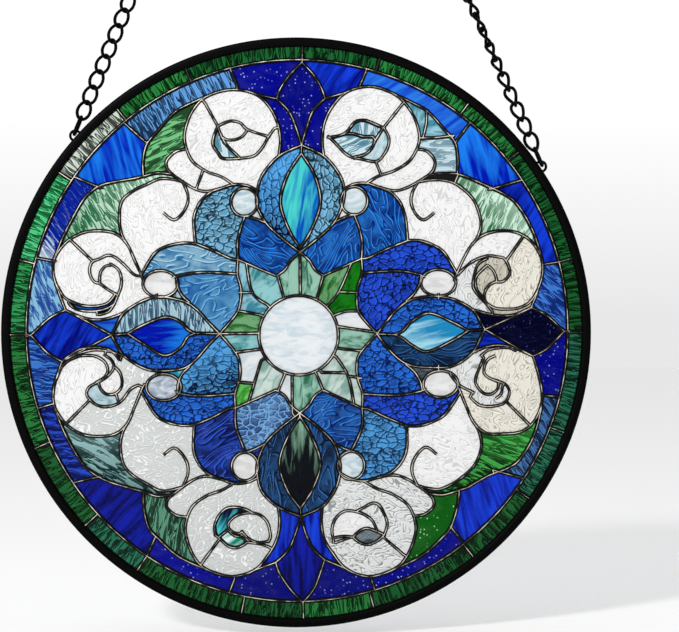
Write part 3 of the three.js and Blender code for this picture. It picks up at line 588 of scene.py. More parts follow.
# %% Gather the triangles of each pane
beside = {}
for index, triangle in enumerate(triangles):
    for k in range(3):
        edge = tuple(sorted((triangle[k], triangle[(k + 1) % 3])))
        beside.setdefault(edge, []).append(index)
pane_of = [-1] * len(triangles)
PANES = []
for first in range(len(triangles)):
    if pane_of[first] >= 0:
        continue
    pane_of[first] = len(PANES)
    pending, members = [first], []
    while pending:
        index = pending.pop()
        members.append(index)
        triangle = triangles[index]
        for k in range(3):
            edge = tuple(sorted((triangle[k], triangle[(k + 1) % 3])))
            if edge in walls:
                continue
            for other in beside[edge]:
                if pane_of[other] < 0:
                    pane_of[other] = len(PANES)
                    pending.append(other)
    PANES.append(np.array([triangles[i] for i in members]))
print(len(PANES), "panes and gaps")

# %% [markdown]
# Two measures help to tell the panes apart: how large one is, and whether a place lies in it.

# %% Measure a pane

def areas(faces):
    """The area of each triangle, in square millimetres."""
    one, two, three = spots[faces[:, 0]], spots[faces[:, 1]], spots[faces[:, 2]]
    first, second = two - one, three - one
    return np.abs(first[:, 0] * second[:, 1] - first[:, 1] * second[:, 0]) / 2


def holds(faces, place):
    """True if the place lies in one of the triangles."""
    corners = [spots[faces[:, k]] for k in range(3)]
    signs = []
    for start, end in zip(corners, corners[1:] + corners[:1]):
        along, out = end - start, place - start
        signs.append(along[:, 0] * out[:, 1] - along[:, 1] * out[:, 0] >= 0)
    return bool(((signs[0] == signs[1]) & (signs[1] == signs[2])).any())


print("largest pane:", round(max(areas(faces).sum() for faces in PANES)), "square millimetres")

# %% [markdown]
# Art glass is sold in sheets, and a maker picks a sheet for each pane. A sheet here has a finish and
# two colours, the deep and the pale one that its pattern runs between. The colours are what white
# light gives after passing through. In the rippled, crackled, veined and reeded finishes they are
# also painted shade and painted highlight along pressed lines, and in the sparkling finish the pale
# one is painted glints.

# %% The rack of glass
RACK = {
    "rippled": {
        "opal": ("#d2d2d1", "#ffffff"), "grey_opal": ("#8c908f", "#fbfdfc"),
        "net_opal": ("#ffffff", "#bfc4c2"), "warm_opal": ("#a8a394", "#fdf9ee"),
        "shell_opal": ("#7a7567", "#e0dbcc"),
    },
    "wispy": {
        "pearl_white": ("#e6e8e6", "#ffffff"), "pearl_ice": ("#b8d2dc", "#f4fcff"),
        "pearl_slate": ("#7890ac", "#f0f6fc"), "frost": ("#dbe9f0", "#fafdff"),
        "mist": ("#8fb8ac", "#e0efe9"), "mint": ("#357a5c", "#a9d8c6"),
        "sea_mist": ("#3c8f94", "#a2dcdf"), "fern": ("#0f6a14", "#7fb884"),
        "forest": ("#055008", "#1c861c"), "spring": ("#239a23", "#8be07c"),
        "pool": ("#3a8fa8", "#a9dcea"), "ice_blue": ("#6fa0b0", "#d8eff6"),
        "cyan": ("#1a9cc4", "#8fe4f4"), "smoke": ("#26343c", "#7f8c92"),
    },
    "crackled": {
        "steel_crackle": ("#84bcf0", "#032068"), "sky_crackle": ("#020c18", "#8cd4fc"),
        "azure_crackle": ("#010c34", "#5cb4fc"), "royal_crackle": ("#01043c", "#3080fc"),
        "cobalt_crackle": ("#01022c", "#2c60fc"),
    },
    "veined": {
        "royal_scribble": ("#000c68", "#3498ff"), "royal_arcs": ("#011060", "#3c94f8"),
        "sky_swirl": ("#1470ac", "#c4f0fc"), "steel_swirl": ("#0c5ca8", "#88d4fc"),
        "navy_branch": ("#00023c", "#3464ec"), "navy_frost": ("#010510", "#3470b8"),
    },
    "streaky": {
        "azure_streak": ("#0c40c8", "#2f7fea"), "royal_streak": ("#02067c", "#1440e0"),
        "navy_streak": ("#01034a", "#0c1ca4"), "vivid_streak": ("#0118b8", "#1c80f4"),
        "aqua_streak": ("#045cc4", "#4fe0d8"), "agate": ("#03093c", "#46ccd4"),
        "teal_milk": ("#0f8c74", "#e4fafa"), "sky_streak": ("#2496d0", "#b4f0ff"),
        "night_streak": ("#010610", "#8cbca0"),
    },
    "reeded": {
        "ice_reed": ("#0c3860", "#c8f0fc"), "azure_reed": ("#06389c", "#a4e4ff"),
        "blue_reed": ("#041870", "#4c90f4"), "steel_reed": ("#020c30", "#6cb0f4"),
        "night_reed": ("#02061c", "#4c80c4"), "royal_reed": ("#020448", "#2c54dc"),
        "aqua_reed": ("#3c7c94", "#e4f8fc"), "green_reed": ("#010c03", "#2f8f44"),
        "dark_reed": ("#010a03", "#1f6c34"), "sea_reed": ("#010f0a", "#2c7c5c"),
        "bright_reed": ("#03240c", "#3cb464"), "mint_reed": ("#084c20", "#5ce898"),
        "dawn_reed": ("#06209c", "#e4fcff"), "zebra_reed": ("#010302", "#e8f8e8"),
        "leaf_reed": ("#042c0c", "#84dc94"), "deep_leaf_reed": ("#022804", "#4cbc54"),
        "pale_leaf_reed": ("#2c7448", "#dcfce8"), "teal_leaf_reed": ("#0c2c2c", "#a4d0d0"),
        "dark_leaf_reed": ("#021c10", "#64a486"), "grey_leaf_reed": ("#6c94a4", "#dcf0f8"),
    },
    "sparkling": {
        "indigo_spark": ("#02068a", "#b4bcf0"), "navy_spark": ("#03087c", "#b4bcf4"),
        "black_spark": ("#010226", "#5058a8"), "emerald_spark": ("#045c0c", "#c4f8c8"),
    },
}
SHEETS = {sheet: (finish, *colours) for finish, sheets in RACK.items()
          for sheet, colours in sheets.items()}
print(len(SHEETS), "sheets in", len(RACK), "finishes")

# %% [markdown]
# Each entry puts a sheet under one or more panes of a part: a place on the part, the sheet, and
# the way the grain lies in degrees. A further value is the way towards which the pane grows paler.
# Two more say how late that starts and how strong it is. A pane takes the entry that lies in it,
# or the nearest one. The part called solder is a gap that the solder fills.

# %% Lay out the glass of the upper right quarter
LAYOUT = {"upper_right": {
    "star": [
        (5, 27, "mint", 90), (18, 24, "fern", 60, 30), (24, 15, "forest", 40),
        (29, 6, "frost", 0), (29, 28, "forest", 70)],
    "first_petal": [(20, 44, "royal_scribble", 55)],
    "second_petal": [(43, 57, "royal_scribble", 110)],
    "third_petal": [(58, 37, "cobalt_crackle", 0)],
    "fourth_petal": [(45, 19, "cobalt_crackle", 40)],
    "surround": [(16, 71, "sky_crackle", 80), (70, 14, "royal_crackle", 0)],
    "jewel": [(2, 67, "aqua_streak", 82, 150, 1, 0.6), (69, 0, "sky_streak", 12, 250, 1, 0.5)],
    "pearl": [
        (30, 67, "pearl_ice", 0), (72, 25, "pearl_white", 0), (24, 60, "pearl_white", 0),
        (63, 20, "pearl_white", 0)],
    "lobe": [(74, 59, "opal", 80)],
    "solder": [(75, 79, "opal", 0)],
    "side_scroll": [
        (88, 22, "grey_opal", 70), (96, 27, "shell_opal", 50), (106, 30, "shell_opal", 60),
        (101, 44, "opal", 20), (113, 27, "warm_opal", 60)],
    "band": [(100, 7, "black_spark", 0), (11, 106, "indigo_spark", 90)],
    "upper_scroll": [
        (31, 115, "opal", 20), (30, 96, "aqua_reed", 20), (41, 94, "ice_blue", 60),
        (35, 103, "aqua_reed", 90), (53, 97, "opal", 80), (57, 81, "opal", 30)],
    "leaf": [
        (74, 91, "grey_leaf_reed", 0), (62, 110, "pool", 60), (70, 104, "pool", 0),
        (100, 63, "pale_leaf_reed", 65, 40)],
}}
print(sum(len(entries) for entries in LAYOUT["upper_right"].values()), "entries")

# %% [markdown]
# The lower right quarter repeats the drawing but not the glass. Each pane was cut from whatever
# sheet suited it.

# %% Lay out the glass of the lower right quarter
LAYOUT["lower_right"] = {
    "star": [
        (29, 3, "mint", 0), (27, 14, "mist", 20), (19, 17, "mist", 40), (21, 27, "mist", 60),
        (4, 29, "mint", 90), (31, 30, "mist", 0)],
    "first_petal": [(20, 44, "royal_arcs", 30)],
    "second_petal": [(42, 57, "azure_crackle", 0)],
    "third_petal": [(58, 38, "cobalt_crackle", 0)],
    "fourth_petal": [(45, 20, "royal_crackle", 0)],
    "surround": [(70, 13, "navy_frost", 0), (16, 70, "navy_frost", 90)],
    "jewel": [(2, 67, "night_streak", 90, 90, 3, 0.85)],
    "pearl": [(28, 67, "pearl_ice", 0), (73, 26, "pearl_white", 0), (64, 20, "smoke", 0)],
    "lobe": [(74, 60, "opal", 160)],
    "side_scroll": [
        (88, 22, "grey_opal", 60), (101, 43, "warm_opal", 150), (113, 24, "warm_opal", 60)],
    "band": [(100, 5, "royal_streak", 0), (11, 104, "royal_streak", 90)],
    "upper_scroll": [
        (56, 82, "grey_opal", 160), (41, 94, "grey_opal", 60), (28, 98, "opal", 20),
        (37, 115, "grey_opal", 170), (50, 100, "grey_opal", 80), (20, 85, "grey_opal", 60),
        (37, 104, "smoke", 0)],
    "leaf": [(100, 63, "deep_leaf_reed", 160, 60), (70, 98, "emerald_spark", 0)],
}
print(sum(len(entries) for entries in LAYOUT["lower_right"].values()), "entries")

# %% [markdown]
# The lower left quarter has darker petals, in crackled and in branched blue.

# %% Lay out the glass of the lower left quarter
LAYOUT["lower_left"] = {
    "star": [
        (5, 28, "frost", 90), (15, 24, "mist", 60), (24, 17, "frost", 30),
        (27, 5, "sea_mist", 0), (27, 31, "spring", 45)],
    "first_petal": [(17, 44, "steel_crackle", 0)],
    "second_petal": [(39, 58, "navy_branch", 30)],
    "third_petal": [(54, 38, "royal_crackle", 0)],
    "fourth_petal": [(42, 20, "azure_crackle", 0, 120)],
    "surround": [(67, 14, "royal_crackle", 0), (14, 70, "navy_frost", 90)],
    "jewel": [(68, 2, "vivid_streak", 5, 320, 2, 0.8)],
    "pearl": [(26, 68, "pearl_white", 0), (68, 28, "pearl_slate", 0), (62, 21, "cyan", 0)],
    "lobe": [(70, 60, "net_opal", 165)],
    "side_scroll": [
        (83, 20, "net_opal", 60), (97, 28, "opal", 60), (97, 43, "net_opal", 170),
        (94, 18, "grey_opal", 0), (98, 34, "ice_blue", 0), (116, 26, "opal", 70)],
    "band": [(96, 7, "azure_streak", 0), (7, 104, "royal_streak", 90)],
    "upper_scroll": [
        (22, 97, "net_opal", 70), (50, 100, "net_opal", 30),
        (38, 98, "agate", 60, 270, 1, 0.6), (32, 106, "teal_milk", 30, 180, 1, 0.6),
        (52, 82, "net_opal", 20), (31, 115, "net_opal", 170)],
    "leaf": [(65, 99, "dark_leaf_reed", 80), (96, 65, "teal_leaf_reed", 150, 90)],
}
print(sum(len(entries) for entries in LAYOUT["lower_left"].values()), "entries")

# %% [markdown]
# The upper left quarter has the palest petals, with swirls of sky and steel blue.

# %% Lay out the glass of the upper left quarter
LAYOUT["upper_left"] = {
    "star": [
        (26, 4, "fern", 0), (22, 14, "pool", 20), (16, 24, "sea_mist", 60),
        (27, 28, "pool", 60)],
    "first_petal": [(16, 43, "royal_scribble", 140)],
    "second_petal": [(39, 56, "sky_crackle", 0)],
    "third_petal": [(54, 36, "sky_swirl", 0)],
    "fourth_petal": [(42, 18, "steel_swirl", 20)],
    "surround": [(68, 13, "ice_reed", 90), (14, 71, "azure_crackle", 80, 90)],
    "pearl": [(26, 66, "pearl_ice", 0), (69, 25, "pearl_white", 0)],
    "lobe": [(70, 58, "opal", 100)],
    "side_scroll": [
        (97, 43, "opal", 60), (111, 28, "opal", 60), (93, 21, "opal", 60),
        (94, 27, "grey_opal", 60)],
    "band": [(97, 5, "azure_streak", 0), (6, 105, "indigo_spark", 90)],
    "upper_scroll": [
        (48, 100, "opal", 60), (27, 94, "opal", 60), (33, 103, "opal", 0),
        (36, 92, "aqua_reed", 100), (57, 83, "opal", 30), (27, 113, "opal", 30)],
    "leaf": [(65, 97, "leaf_reed", 25), (97, 64, "pale_leaf_reed", 120, 20)],
}
print(sum(len(entries) for entries in LAYOUT["upper_left"].values()), "entries")

# %% [markdown]
# The bands and the border are set out by azimuth instead, in degrees clockwise from the top. Their
# grain lies along the radius at 90 and round the ring at 0.

# %% Lay out the rings
BAND_RADIUS = 131
BORDER_RADIUS = 142
BANDS = [
    (9, "royal_streak", 60), (28, "azure_streak", 60), (47, "vivid_streak", 150, 150, 1, 0.5),
    (64, "royal_streak", 120, 90), (82, "blue_reed", 40), (98, "indigo_spark", 90),
    (114, "night_reed", 60), (132, "royal_streak", 60), (151, "indigo_spark", 0),
    (170, "navy_spark", 0), (187, "navy_spark", 0), (205, "indigo_spark", 0),
    (225, "navy_streak", 90), (244, "royal_reed", 60), (261, "blue_reed", 70),
    (278, "azure_reed", 30), (296, "dawn_reed", 60, 180, 4, 0.8), (314, "vivid_streak", 60),
    (333, "steel_reed", 90), (353, "indigo_spark", 0)]
BORDER = ["dark_reed", "green_reed", "green_reed", "dark_reed", "dark_reed", "sea_reed",
          "sea_reed", "dark_reed", "dark_reed", "green_reed", "dark_reed", "dark_reed",
          "sea_reed", "dark_reed", "green_reed", "bright_reed", "mint_reed", "zebra_reed",
          "green_reed", "dark_reed"]
DIAMONDS = [(0, 119, "navy_spark", 90), (90, 118, "black_spark", 90),
            (180, 119, "navy_streak", 90), (270, 116, "royal_streak", 150)]
print(len(BANDS), "bands,", len(DIAMONDS), "diamonds,", len(BORDER), "border panes")

# %% [markdown]
# A swatch is one place of the whole panel with its sheet. The lie of the rings turns with the
# azimuth, and the disc in the middle has the one swatch that no quarter holds.

# %% Gather the entries as swatches
swatches = [("centre", np.array(RINGS["centre_line"][0]), "frost", 0, None)]
for quarter, parts in LAYOUT.items():
    side, up, column = QUARTERS[quarter]
    for part, entries in parts.items():
        for u, v, sheet, lie, *fade in entries:
            swatches.append((part, np.array([side * u, up * v]), sheet, lie, fade or None))
for azimuth, sheet, lie, *fade in BANDS:
    toward = [fade[0] - azimuth, *fade[1:]] if fade else None
    swatches.append(("band", polar(azimuth, BAND_RADIUS), sheet, lie - azimuth, toward))
for azimuth, radius, sheet, lie in DIAMONDS:
    swatches.append(("band", polar(azimuth, radius), sheet, lie - azimuth, None))
for start, end, sheet in zip(BORDER_BARS, BORDER_BARS[1:] + [BORDER_BARS[0] + 360], BORDER):
    swatches.append(("border", polar((start + end) / 2, BORDER_RADIUS), sheet, 90, None))
print(len(swatches), "swatches")

# %% [markdown]
# Slivers between two lines are too small for glass. A maker fills them with solder, and so does
# this step, except under the rim, where nothing shows.

# %% Give every pane its sheet
SMALLEST_PANE = 14
SMALLEST_FILL = 1.5
FILL_RADIUS = RIM_INNER_RADIUS - 1
panes_of = {}
fills = []
for faces in PANES:
    area = areas(faces)
    middles = spots[faces].mean(axis=1)
    middle = np.average(middles, axis=0, weights=area)
    if area.sum() < SMALLEST_PANE:
        if area.sum() > SMALLEST_FILL and np.hypot(*middle) < FILL_RADIUS:
            fills.append(faces)
        continue
    inside = [entry for entry in swatches if holds(faces, entry[1])]
    if inside:
        part, place, sheet, lie, fade = inside[0]
    else:
        deepest = middles[np.argmin(((middles - middle) ** 2).sum(axis=1))]
        part, place, sheet, lie, fade = min(swatches, key=lambda e: math.dist(e[1], deepest))
    if part == "solder":
        fills.append(faces)
        continue
    panes_of.setdefault((part, SHEETS[sheet][0]), []).append((faces, sheet, lie, fade))
print(sum(len(panes) for panes in panes_of.values()), "panes,", len(fills), "solder fills,",
      len(panes_of), "groups")

# %% [markdown]
# Glass lets light through, so every finish has a transmission. Its pattern could come from a
# picture, but nodes carry it over a pane of any size without a seam. Each finish turns the grain
# of its pane, in millimetres, into a share between the deep and the pale colour, and into a
# height for the bumps.

# %% What all the glass shares
GLASS = {}
SMOOTH = {"interpolation_type": "SMOOTHSTEP"}
# Window glass is near 1.5. This is lower, because a stronger reflection of the room pales the
# deep blues and blacks.
GLASS_IOR = 1.15


def begin_glass(finish):
    """A new glass material: its nodes, and its grain as a vector in millimetres."""
    GLASS[finish], shader = new_material(finish + "_glass")
    shader.inputs["IOR"].default_value = GLASS_IOR
    tree = GLASS[finish].node_tree
    return tree, node(tree, "Attribute", attribute_name="grain").outputs["Vector"]


def patches(tree, grain, along, across, detail=1.0, distortion=0.0):
    """Noise in patches this many millimetres long and wide."""
    scaled = node(tree, "VectorMath", {0: grain, 1: (1 / along, 1 / across, 1)},
                  operation="MULTIPLY")
    return node(tree, "TexNoise", {"Vector": scaled, "Scale": 1.0, "Detail": detail,
                                   "Distortion": distortion})


def end_glass(tree, share, height, depth, transmission, roughness):
    """Mixes the two colours, adds a relief of this depth in millimetres, and sets the shader."""
    deep = node(tree, "Attribute", attribute_name="deep")
    pale = node(tree, "Attribute", attribute_name="pale")
    fade = node(tree, "Attribute", attribute_name="fade").outputs["Fac"]
    faded = node(tree, "Math", {0: share, 1: fade}, operation="ADD", use_clamp=True)
    tint = node(tree, "Mix", {"Factor": faded, 6: deep, 7: pale}, data_type="RGBA")
    bump = node(tree, "Bump", {"Height": height, "Strength": 1.0, "Distance": depth * MM})
    shader = tree.nodes["Principled BSDF"]
    shader.inputs["Transmission Weight"].default_value = transmission
    shader.inputs["Roughness"].default_value = roughness
    tree.links.new(tint.outputs[2], shader.inputs["Base Color"])
    tree.links.new(bump.outputs["Normal"], shader.inputs["Normal"])
    print(list(GLASS)[-1], "glass:", len(tree.nodes), "nodes, lets through", transmission)


# %% [markdown]
# Some sheets have lines pressed into them while they are soft. A pressed line throws a dark edge and
# catches light along one side. Both are painted into the colour: the line as painted shade, and the
# same lines, looked up a little further on, as a painted highlight along that bright side, which a
# bump alone would show only under a strong lamp. Sheets such as net_opal swap the two colours, so
# that the line is the painted highlight and the strip beside it the painted shade.

# %% Lines pressed into the glass, with painted shade and highlight
HIGHLIGHT_SHIFT = (0.35, -0.5, 0)
FOLDS = 9


def painted_relief_shading(tree, grain, lines, ground):
    """The lines, and the share of pale colour: painted shade on them, painted highlight beside, the
    ground beyond.
    """
    # The line takes the deep colour as painted shade, and the strip beside it the pale colour as a
    # painted highlight.
    line = lines(tree, grain)
    highlight_grain = node(tree, "VectorMath", {0: grain, 1: HIGHLIGHT_SHIFT})
    beside = node(tree, "MapRange", {"Value": lines(tree, highlight_grain), "To Min": 1.0,
                                     "To Max": ground}, **SMOOTH)
    return line, node(tree, "Math", {0: line, 1: beside}, operation="MULTIPLY")


def folded(tree, waves, width):
    """Rows of thin lines from noise folded back on itself: 0 on a line, 1 beyond its width."""
    many = node(tree, "Math", {0: waves, 1: FOLDS}, operation="MULTIPLY")
    rows = node(tree, "Math", {0: many, 1: 0.5}, operation="PINGPONG")
    return node(tree, "MapRange", {"Value": rows, "From Max": width}, **SMOOTH)


print("the bright side lies", HIGHLIGHT_SHIFT, "mm on")

# %% [markdown]
# Rippled opal glass is milky, and was rolled between patterned rollers. The eye sees a soft white
# with short grey folds about 1 mm apart, and little light comes straight through. The folds are
# painted as shade, with a painted highlight beside each, and the net_opal sheet swaps the two.

# %% Rippled glass
def fold_lines(tree, grain):
    edges = folded(tree, patches(tree, grain, 11, 6, distortion=1.1), 0.24)
    breaks = patches(tree, grain, 4, 4)
    gaps = node(tree, "MapRange", {"Value": breaks, "From Min": 0.52, "From Max": 0.66}, **SMOOTH)
    return node(tree, "Math", {0: edges, 1: gaps}, operation="MAXIMUM")


tree, grain = begin_glass("rippled")
line, share = painted_relief_shading(tree, grain, fold_lines, 0.74)
end_glass(tree, share, line, depth=0.1, transmission=0.12, roughness=0.2)

# %% [markdown]
# Wispy glass is clear and white glass stirred once and rolled smooth. The eye sees pale clouds,
# about 12 mm long and 5 mm wide, and more than half of the light comes through.

# %% Wispy glass
tree, grain = begin_glass("wispy")
wisps = patches(tree, grain, 12, 5, detail=3.0, distortion=1.5)
share = node(tree, "MapRange", {"Value": wisps, "From Min": 0.3, "From Max": 0.62}, **SMOOTH)
ripple = patches(tree, grain, 3, 2, distortion=1.0)
end_glass(tree, share, ripple, depth=0.08, transmission=0.6, roughness=0.12)

# %% [markdown]
# Crackled glass is dipped in water while it glows, so its skin breaks into plates, and then rolled
# once more. The eye sees a net of dark, slightly bent cracks round plates 3 to 4 mm wide. Each crack
# is painted in the deep colour and a strip along one side in the pale one, as the shade and the
# highlight of its relief, and the plates between vary in tone.

# %% Crackled glass
CRACK_CELL = (4.4, 3.0)
CRACK_SWAY = 3.6


def crack_lines(tree, grain):
    sway = patches(tree, grain, CRACK_SWAY, CRACK_SWAY, detail=2.0).outputs["Color"]
    scaled = node(tree, "VectorMath", {0: grain, 1: (1 / CRACK_CELL[0], 1 / CRACK_CELL[1], 1)},
                  operation="MULTIPLY")
    bent = node(tree, "VectorMath", {0: scaled, 1: sway})
    cells = node(tree, "TexVoronoi", {"Vector": bent, "Scale": 1.0}, feature="DISTANCE_TO_EDGE")
    return node(tree, "MapRange", {"Value": cells, "From Max": 0.16}, **SMOOTH)


tree, grain = begin_glass("crackled")
clouds = patches(tree, grain, 9, 9, detail=2.0)
ground = node(tree, "MapRange", {"Value": clouds, "From Min": 0.3, "From Max": 0.7,
                                 "To Min": 0.35, "To Max": 0.85}, **SMOOTH)
line, share = painted_relief_shading(tree, grain, crack_lines, ground)
end_glass(tree, share, line, depth=0.06, transmission=1.0, roughness=0.08)

# %% [markdown]
# Veined glass is clear coloured glass with thin arcs combed into it while soft. The eye sees long
# dark arcs, 1 to 3 mm apart, over a cloudy ground. The arcs are painted in the deep colour as shade,
# with a painted highlight of the pale colour beside each, and the cloudy ground is the glass's own
# tone.

# %% Veined glass
def arc_lines(tree, grain):
    return folded(tree, patches(tree, grain, 22, 9, detail=0.4, distortion=0.8), 0.2)


tree, grain = begin_glass("veined")
clouds = patches(tree, grain, 8, 8, detail=2.0)
ground = node(tree, "MapRange", {"Value": clouds, "From Min": 0.3, "From Max": 0.7,
                                 "To Min": 0.08, "To Max": 0.5}, **SMOOTH)
line, share = painted_relief_shading(tree, grain, arc_lines, ground)
end_glass(tree, share, line, depth=0.08, transmission=1.0, roughness=0.08)

# %% [markdown]
# Streaky glass is two colours ladled onto one table, stirred and pulled out along the sheet. The
# eye sees streaks about 26 mm long and 3.4 mm wide, and light comes straight through them.

# %% Streaky glass
tree, grain = begin_glass("streaky")
streaks = patches(tree, grain, 26, 3.4, detail=3.0, distortion=0.6)
share = node(tree, "MapRange", {"Value": streaks, "From Min": 0.32, "From Max": 0.68}, **SMOOTH)
ripple = patches(tree, grain, 6, 2.5, distortion=0.6)
end_glass(tree, share, ripple, depth=0.1, transmission=1.0, roughness=0.08)

# %% [markdown]
# Reeded glass has uneven ridges pressed across the sheet, 1.7 mm wide. Their height is painted into
# the colour, as shade in the valleys and a highlight on the crests, and where a ridge crosses its
# middle height a dark painted line runs with a painted highlight beside it.

# %% Reeded glass
def reeds(tree, grain):
    """The height of the ridges."""
    return patches(tree, grain, 9, 1.7, detail=0.7, distortion=0.6)


def reed_lines(tree, grain):
    level = node(tree, "Math", {0: reeds(tree, grain), 1: 0.5}, operation="SUBTRACT")
    distance = node(tree, "Math", {0: level}, operation="ABSOLUTE")
    return node(tree, "MapRange", {"Value": distance, "From Max": 0.06}, **SMOOTH)


tree, grain = begin_glass("reeded")
height = reeds(tree, grain)
# Painted shade in the valleys and a painted highlight on the crests: the ground follows the height.
ground = node(tree, "MapRange", {"Value": height, "From Min": 0.38, "From Max": 0.62,
                                 "To Min": 0.06, "To Max": 0.8}, **SMOOTH)
line, share = painted_relief_shading(tree, grain, reed_lines, ground)
end_glass(tree, share, height, depth=0.12, transmission=1.0, roughness=0.08)

# %% [markdown]
# Sparkling glass is near black cobalt with flecks of metal stirred in. The eye sees an even deep
# colour with a few bright flecks, which are painted in the pale colour as glints. Real flecks are
# finer than half a millimetre, and are drawn coarser here so that they show.

# %% Sparkling glass
FLECK_SPACING = 1.7
tree, grain = begin_glass("sparkling")
scaled = node(tree, "VectorMath", {0: grain, 1: (1 / FLECK_SPACING, 1 / FLECK_SPACING, 1)},
              operation="MULTIPLY")
flecks = node(tree, "TexVoronoi", {"Vector": scaled, "Scale": 1.0})
dots = node(tree, "MapRange", {"Value": flecks, "From Min": 0.1, "From Max": 0.3, "To Min": 1.0,
                               "To Max": 0.0}, **SMOOTH)
chance = node(tree, "SeparateColor", {"Color": flecks.outputs["Color"]})
few = node(tree, "MapRange", {"Value": chance, "From Min": 0.6, "From Max": 0.64}, **SMOOTH)
clouds = patches(tree, grain, 12, 6, detail=2.0, distortion=0.8)
ground = node(tree, "MapRange", {"Value": clouds, "From Min": 0.4, "From Max": 0.75,
                                 "To Max": 0.02}, **SMOOTH)
# Painted glints: a few of the flecks take the pale colour.
fleck_glints = node(tree, "Math", {0: dots, 1: few}, operation="MULTIPLY")
share = node(tree, "Math", {0: fleck_glints, 1: ground}, operation="MAXIMUM")
ripple = patches(tree, grain, 4, 2.5, distortion=0.8)
end_glass(tree, share, ripple, depth=0.1, transmission=1.0, roughness=0.08)

# %% [markdown]
# A pane is a slab: a front with a little relief rolled into it, a flat back and an edge that
# hides in the lead. The edge stops a third of a millimetre short of the line it was cut along.

# %% Make a pane
EDGE_GAP = 0.35
RELIEF = 0.12
RELIEF_SIZE = 3.1


def outer_edges(faces):
    """The edges that belong to one triangle only, in its own direction."""
    edges = [(face[k], face[(k + 1) % 3]) for face in faces.tolist() for k in range(3)]
    count = {}
    for edge in edges:
        both_ways = tuple(sorted(edge))
        count[both_ways] = count.get(both_ways, 0) + 1
    return [edge for edge in edges if count[tuple(sorted(edge))] == 1]


def slab(faces, half, gap=EDGE_GAP, relief=RELIEF):
    """The corners, triangles and drawing places of one pane as a closed slab."""
    used, local = np.unique(faces, return_inverse=True)
    local = local.reshape(faces.shape)
    flat = spots[used].copy()
    middles = flat[local].mean(axis=1)
    pull = np.zeros_like(flat)
    for k in range(3):
        np.add.at(pull, local[:, k], middles - flat[local[:, k]])
    rim_edges = outer_edges(local)
    rim = sorted({corner for edge in rim_edges for corner in edge})
    reach = np.hypot(*pull[rim].T)[:, None]
    flat[rim] += gap * pull[rim] / np.maximum(reach, 1e-6)
    lumps = np.array([noise.noise(Vector((x, z, 0)) / RELIEF_SIZE) for x, z in flat])
    front = in_place(flat, -half + relief * (lumps + 1) / 2)
    back = in_place(flat, half)
    count = len(flat)
    sides = [(b, a, a + count) for a, b in rim_edges] + [
        (b, a + count, b + count) for a, b in rim_edges]
    triangles = np.vstack([local, local[:, ::-1] + count, np.array(sides)])
    return np.vstack([front, back]), triangles, np.vstack([flat, flat])


print("a pane is", round(2 * GLASS_HALF, 1), "mm thick with", RELIEF, "mm of relief")

# %% [markdown]
# A piece is a mesh of its own that goes with the panel. What differs from pane to pane, such as
# its colours, is stored at the corners of its mesh, so that one material serves them all.

# %% Make a piece
def solid_mesh(name, corners, faces, material, smooth_angle=40):
    """A piece that rides on the panel, smooth except along edges sharper than this angle."""
    mesh = bpy.data.meshes.new(name)
    mesh.from_pydata(corners.tolist(), [], [list(face) for face in faces])
    mesh.shade_smooth()
    mesh.set_sharp_from_angle(angle=math.radians(smooth_angle))
    mesh.materials.append(material)
    piece = bpy.data.objects.new(name, mesh)
    bpy.context.scene.collection.objects.link(piece)
    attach(piece, "root")
    return piece


STORED_AS = {"grain": ("FLOAT_VECTOR", "vector"), "deep": ("FLOAT_COLOR", "color"),
             "pale": ("FLOAT_COLOR", "color"), "fade": ("FLOAT", "value"),
             "crest": ("FLOAT", "value")}


def put_on(mesh, name, values):
    """Stores one value for each corner of the mesh."""
    kind, field = STORED_AS[name]
    layer = mesh.attributes.new(name, kind, "POINT")
    layer.data.foreach_set(field, np.asarray(values, np.float32).ravel())


print("corners can hold:", sorted(STORED_AS))

# %% [markdown]
# Every pane keeps the way its own grain lies, because a maker turns the sheet to suit the drawing.
# The border's grain follows the radius. Some panes were cut where the sheet turns paler.

# %% Grain and fade
FADE = 0.4
SEED_STEP = 7.3


def heading(angle):
    """The direction at this angle, in degrees up from the right."""
    return np.array([math.cos(math.radians(angle)), math.sin(math.radians(angle))])


def grain_at(flat, middle, lie, ring, seed):
    """Millimetres along and across the grain, and a value of the pane's own."""
    if ring:
        along = np.hypot(*flat.T)
        across = np.arctan2(flat[:, 0], flat[:, 1]) * BORDER_RADIUS
        return np.stack([along, across, np.zeros(len(flat))], axis=1)
    along = (flat - middle) @ heading(lie)
    across = (flat - middle) @ heading(lie + 90)
    return np.stack([along, across, np.full(len(flat), SEED_STEP * seed)], axis=1)


def fade_at(flat, fade):
    """How much paler the glass is at each place, or darker where it is below zero."""
    if fade is None:
        return np.zeros(len(flat))
    toward, power, amount = (fade[0], 1, FADE) if len(fade) == 1 else fade
    ahead = flat @ heading(toward)
    share = (ahead - ahead.min()) / (ahead.max() - ahead.min())
    return amount * (2 * share ** power - 1)


print("grain turned by 90 degrees runs along", heading(90).round(2))

# %% [markdown]
# Panes of one part and one finish become one piece, which replaces the part's CAD nodes. A part
# is listed with those nodes and with the slot that its glass belongs to.

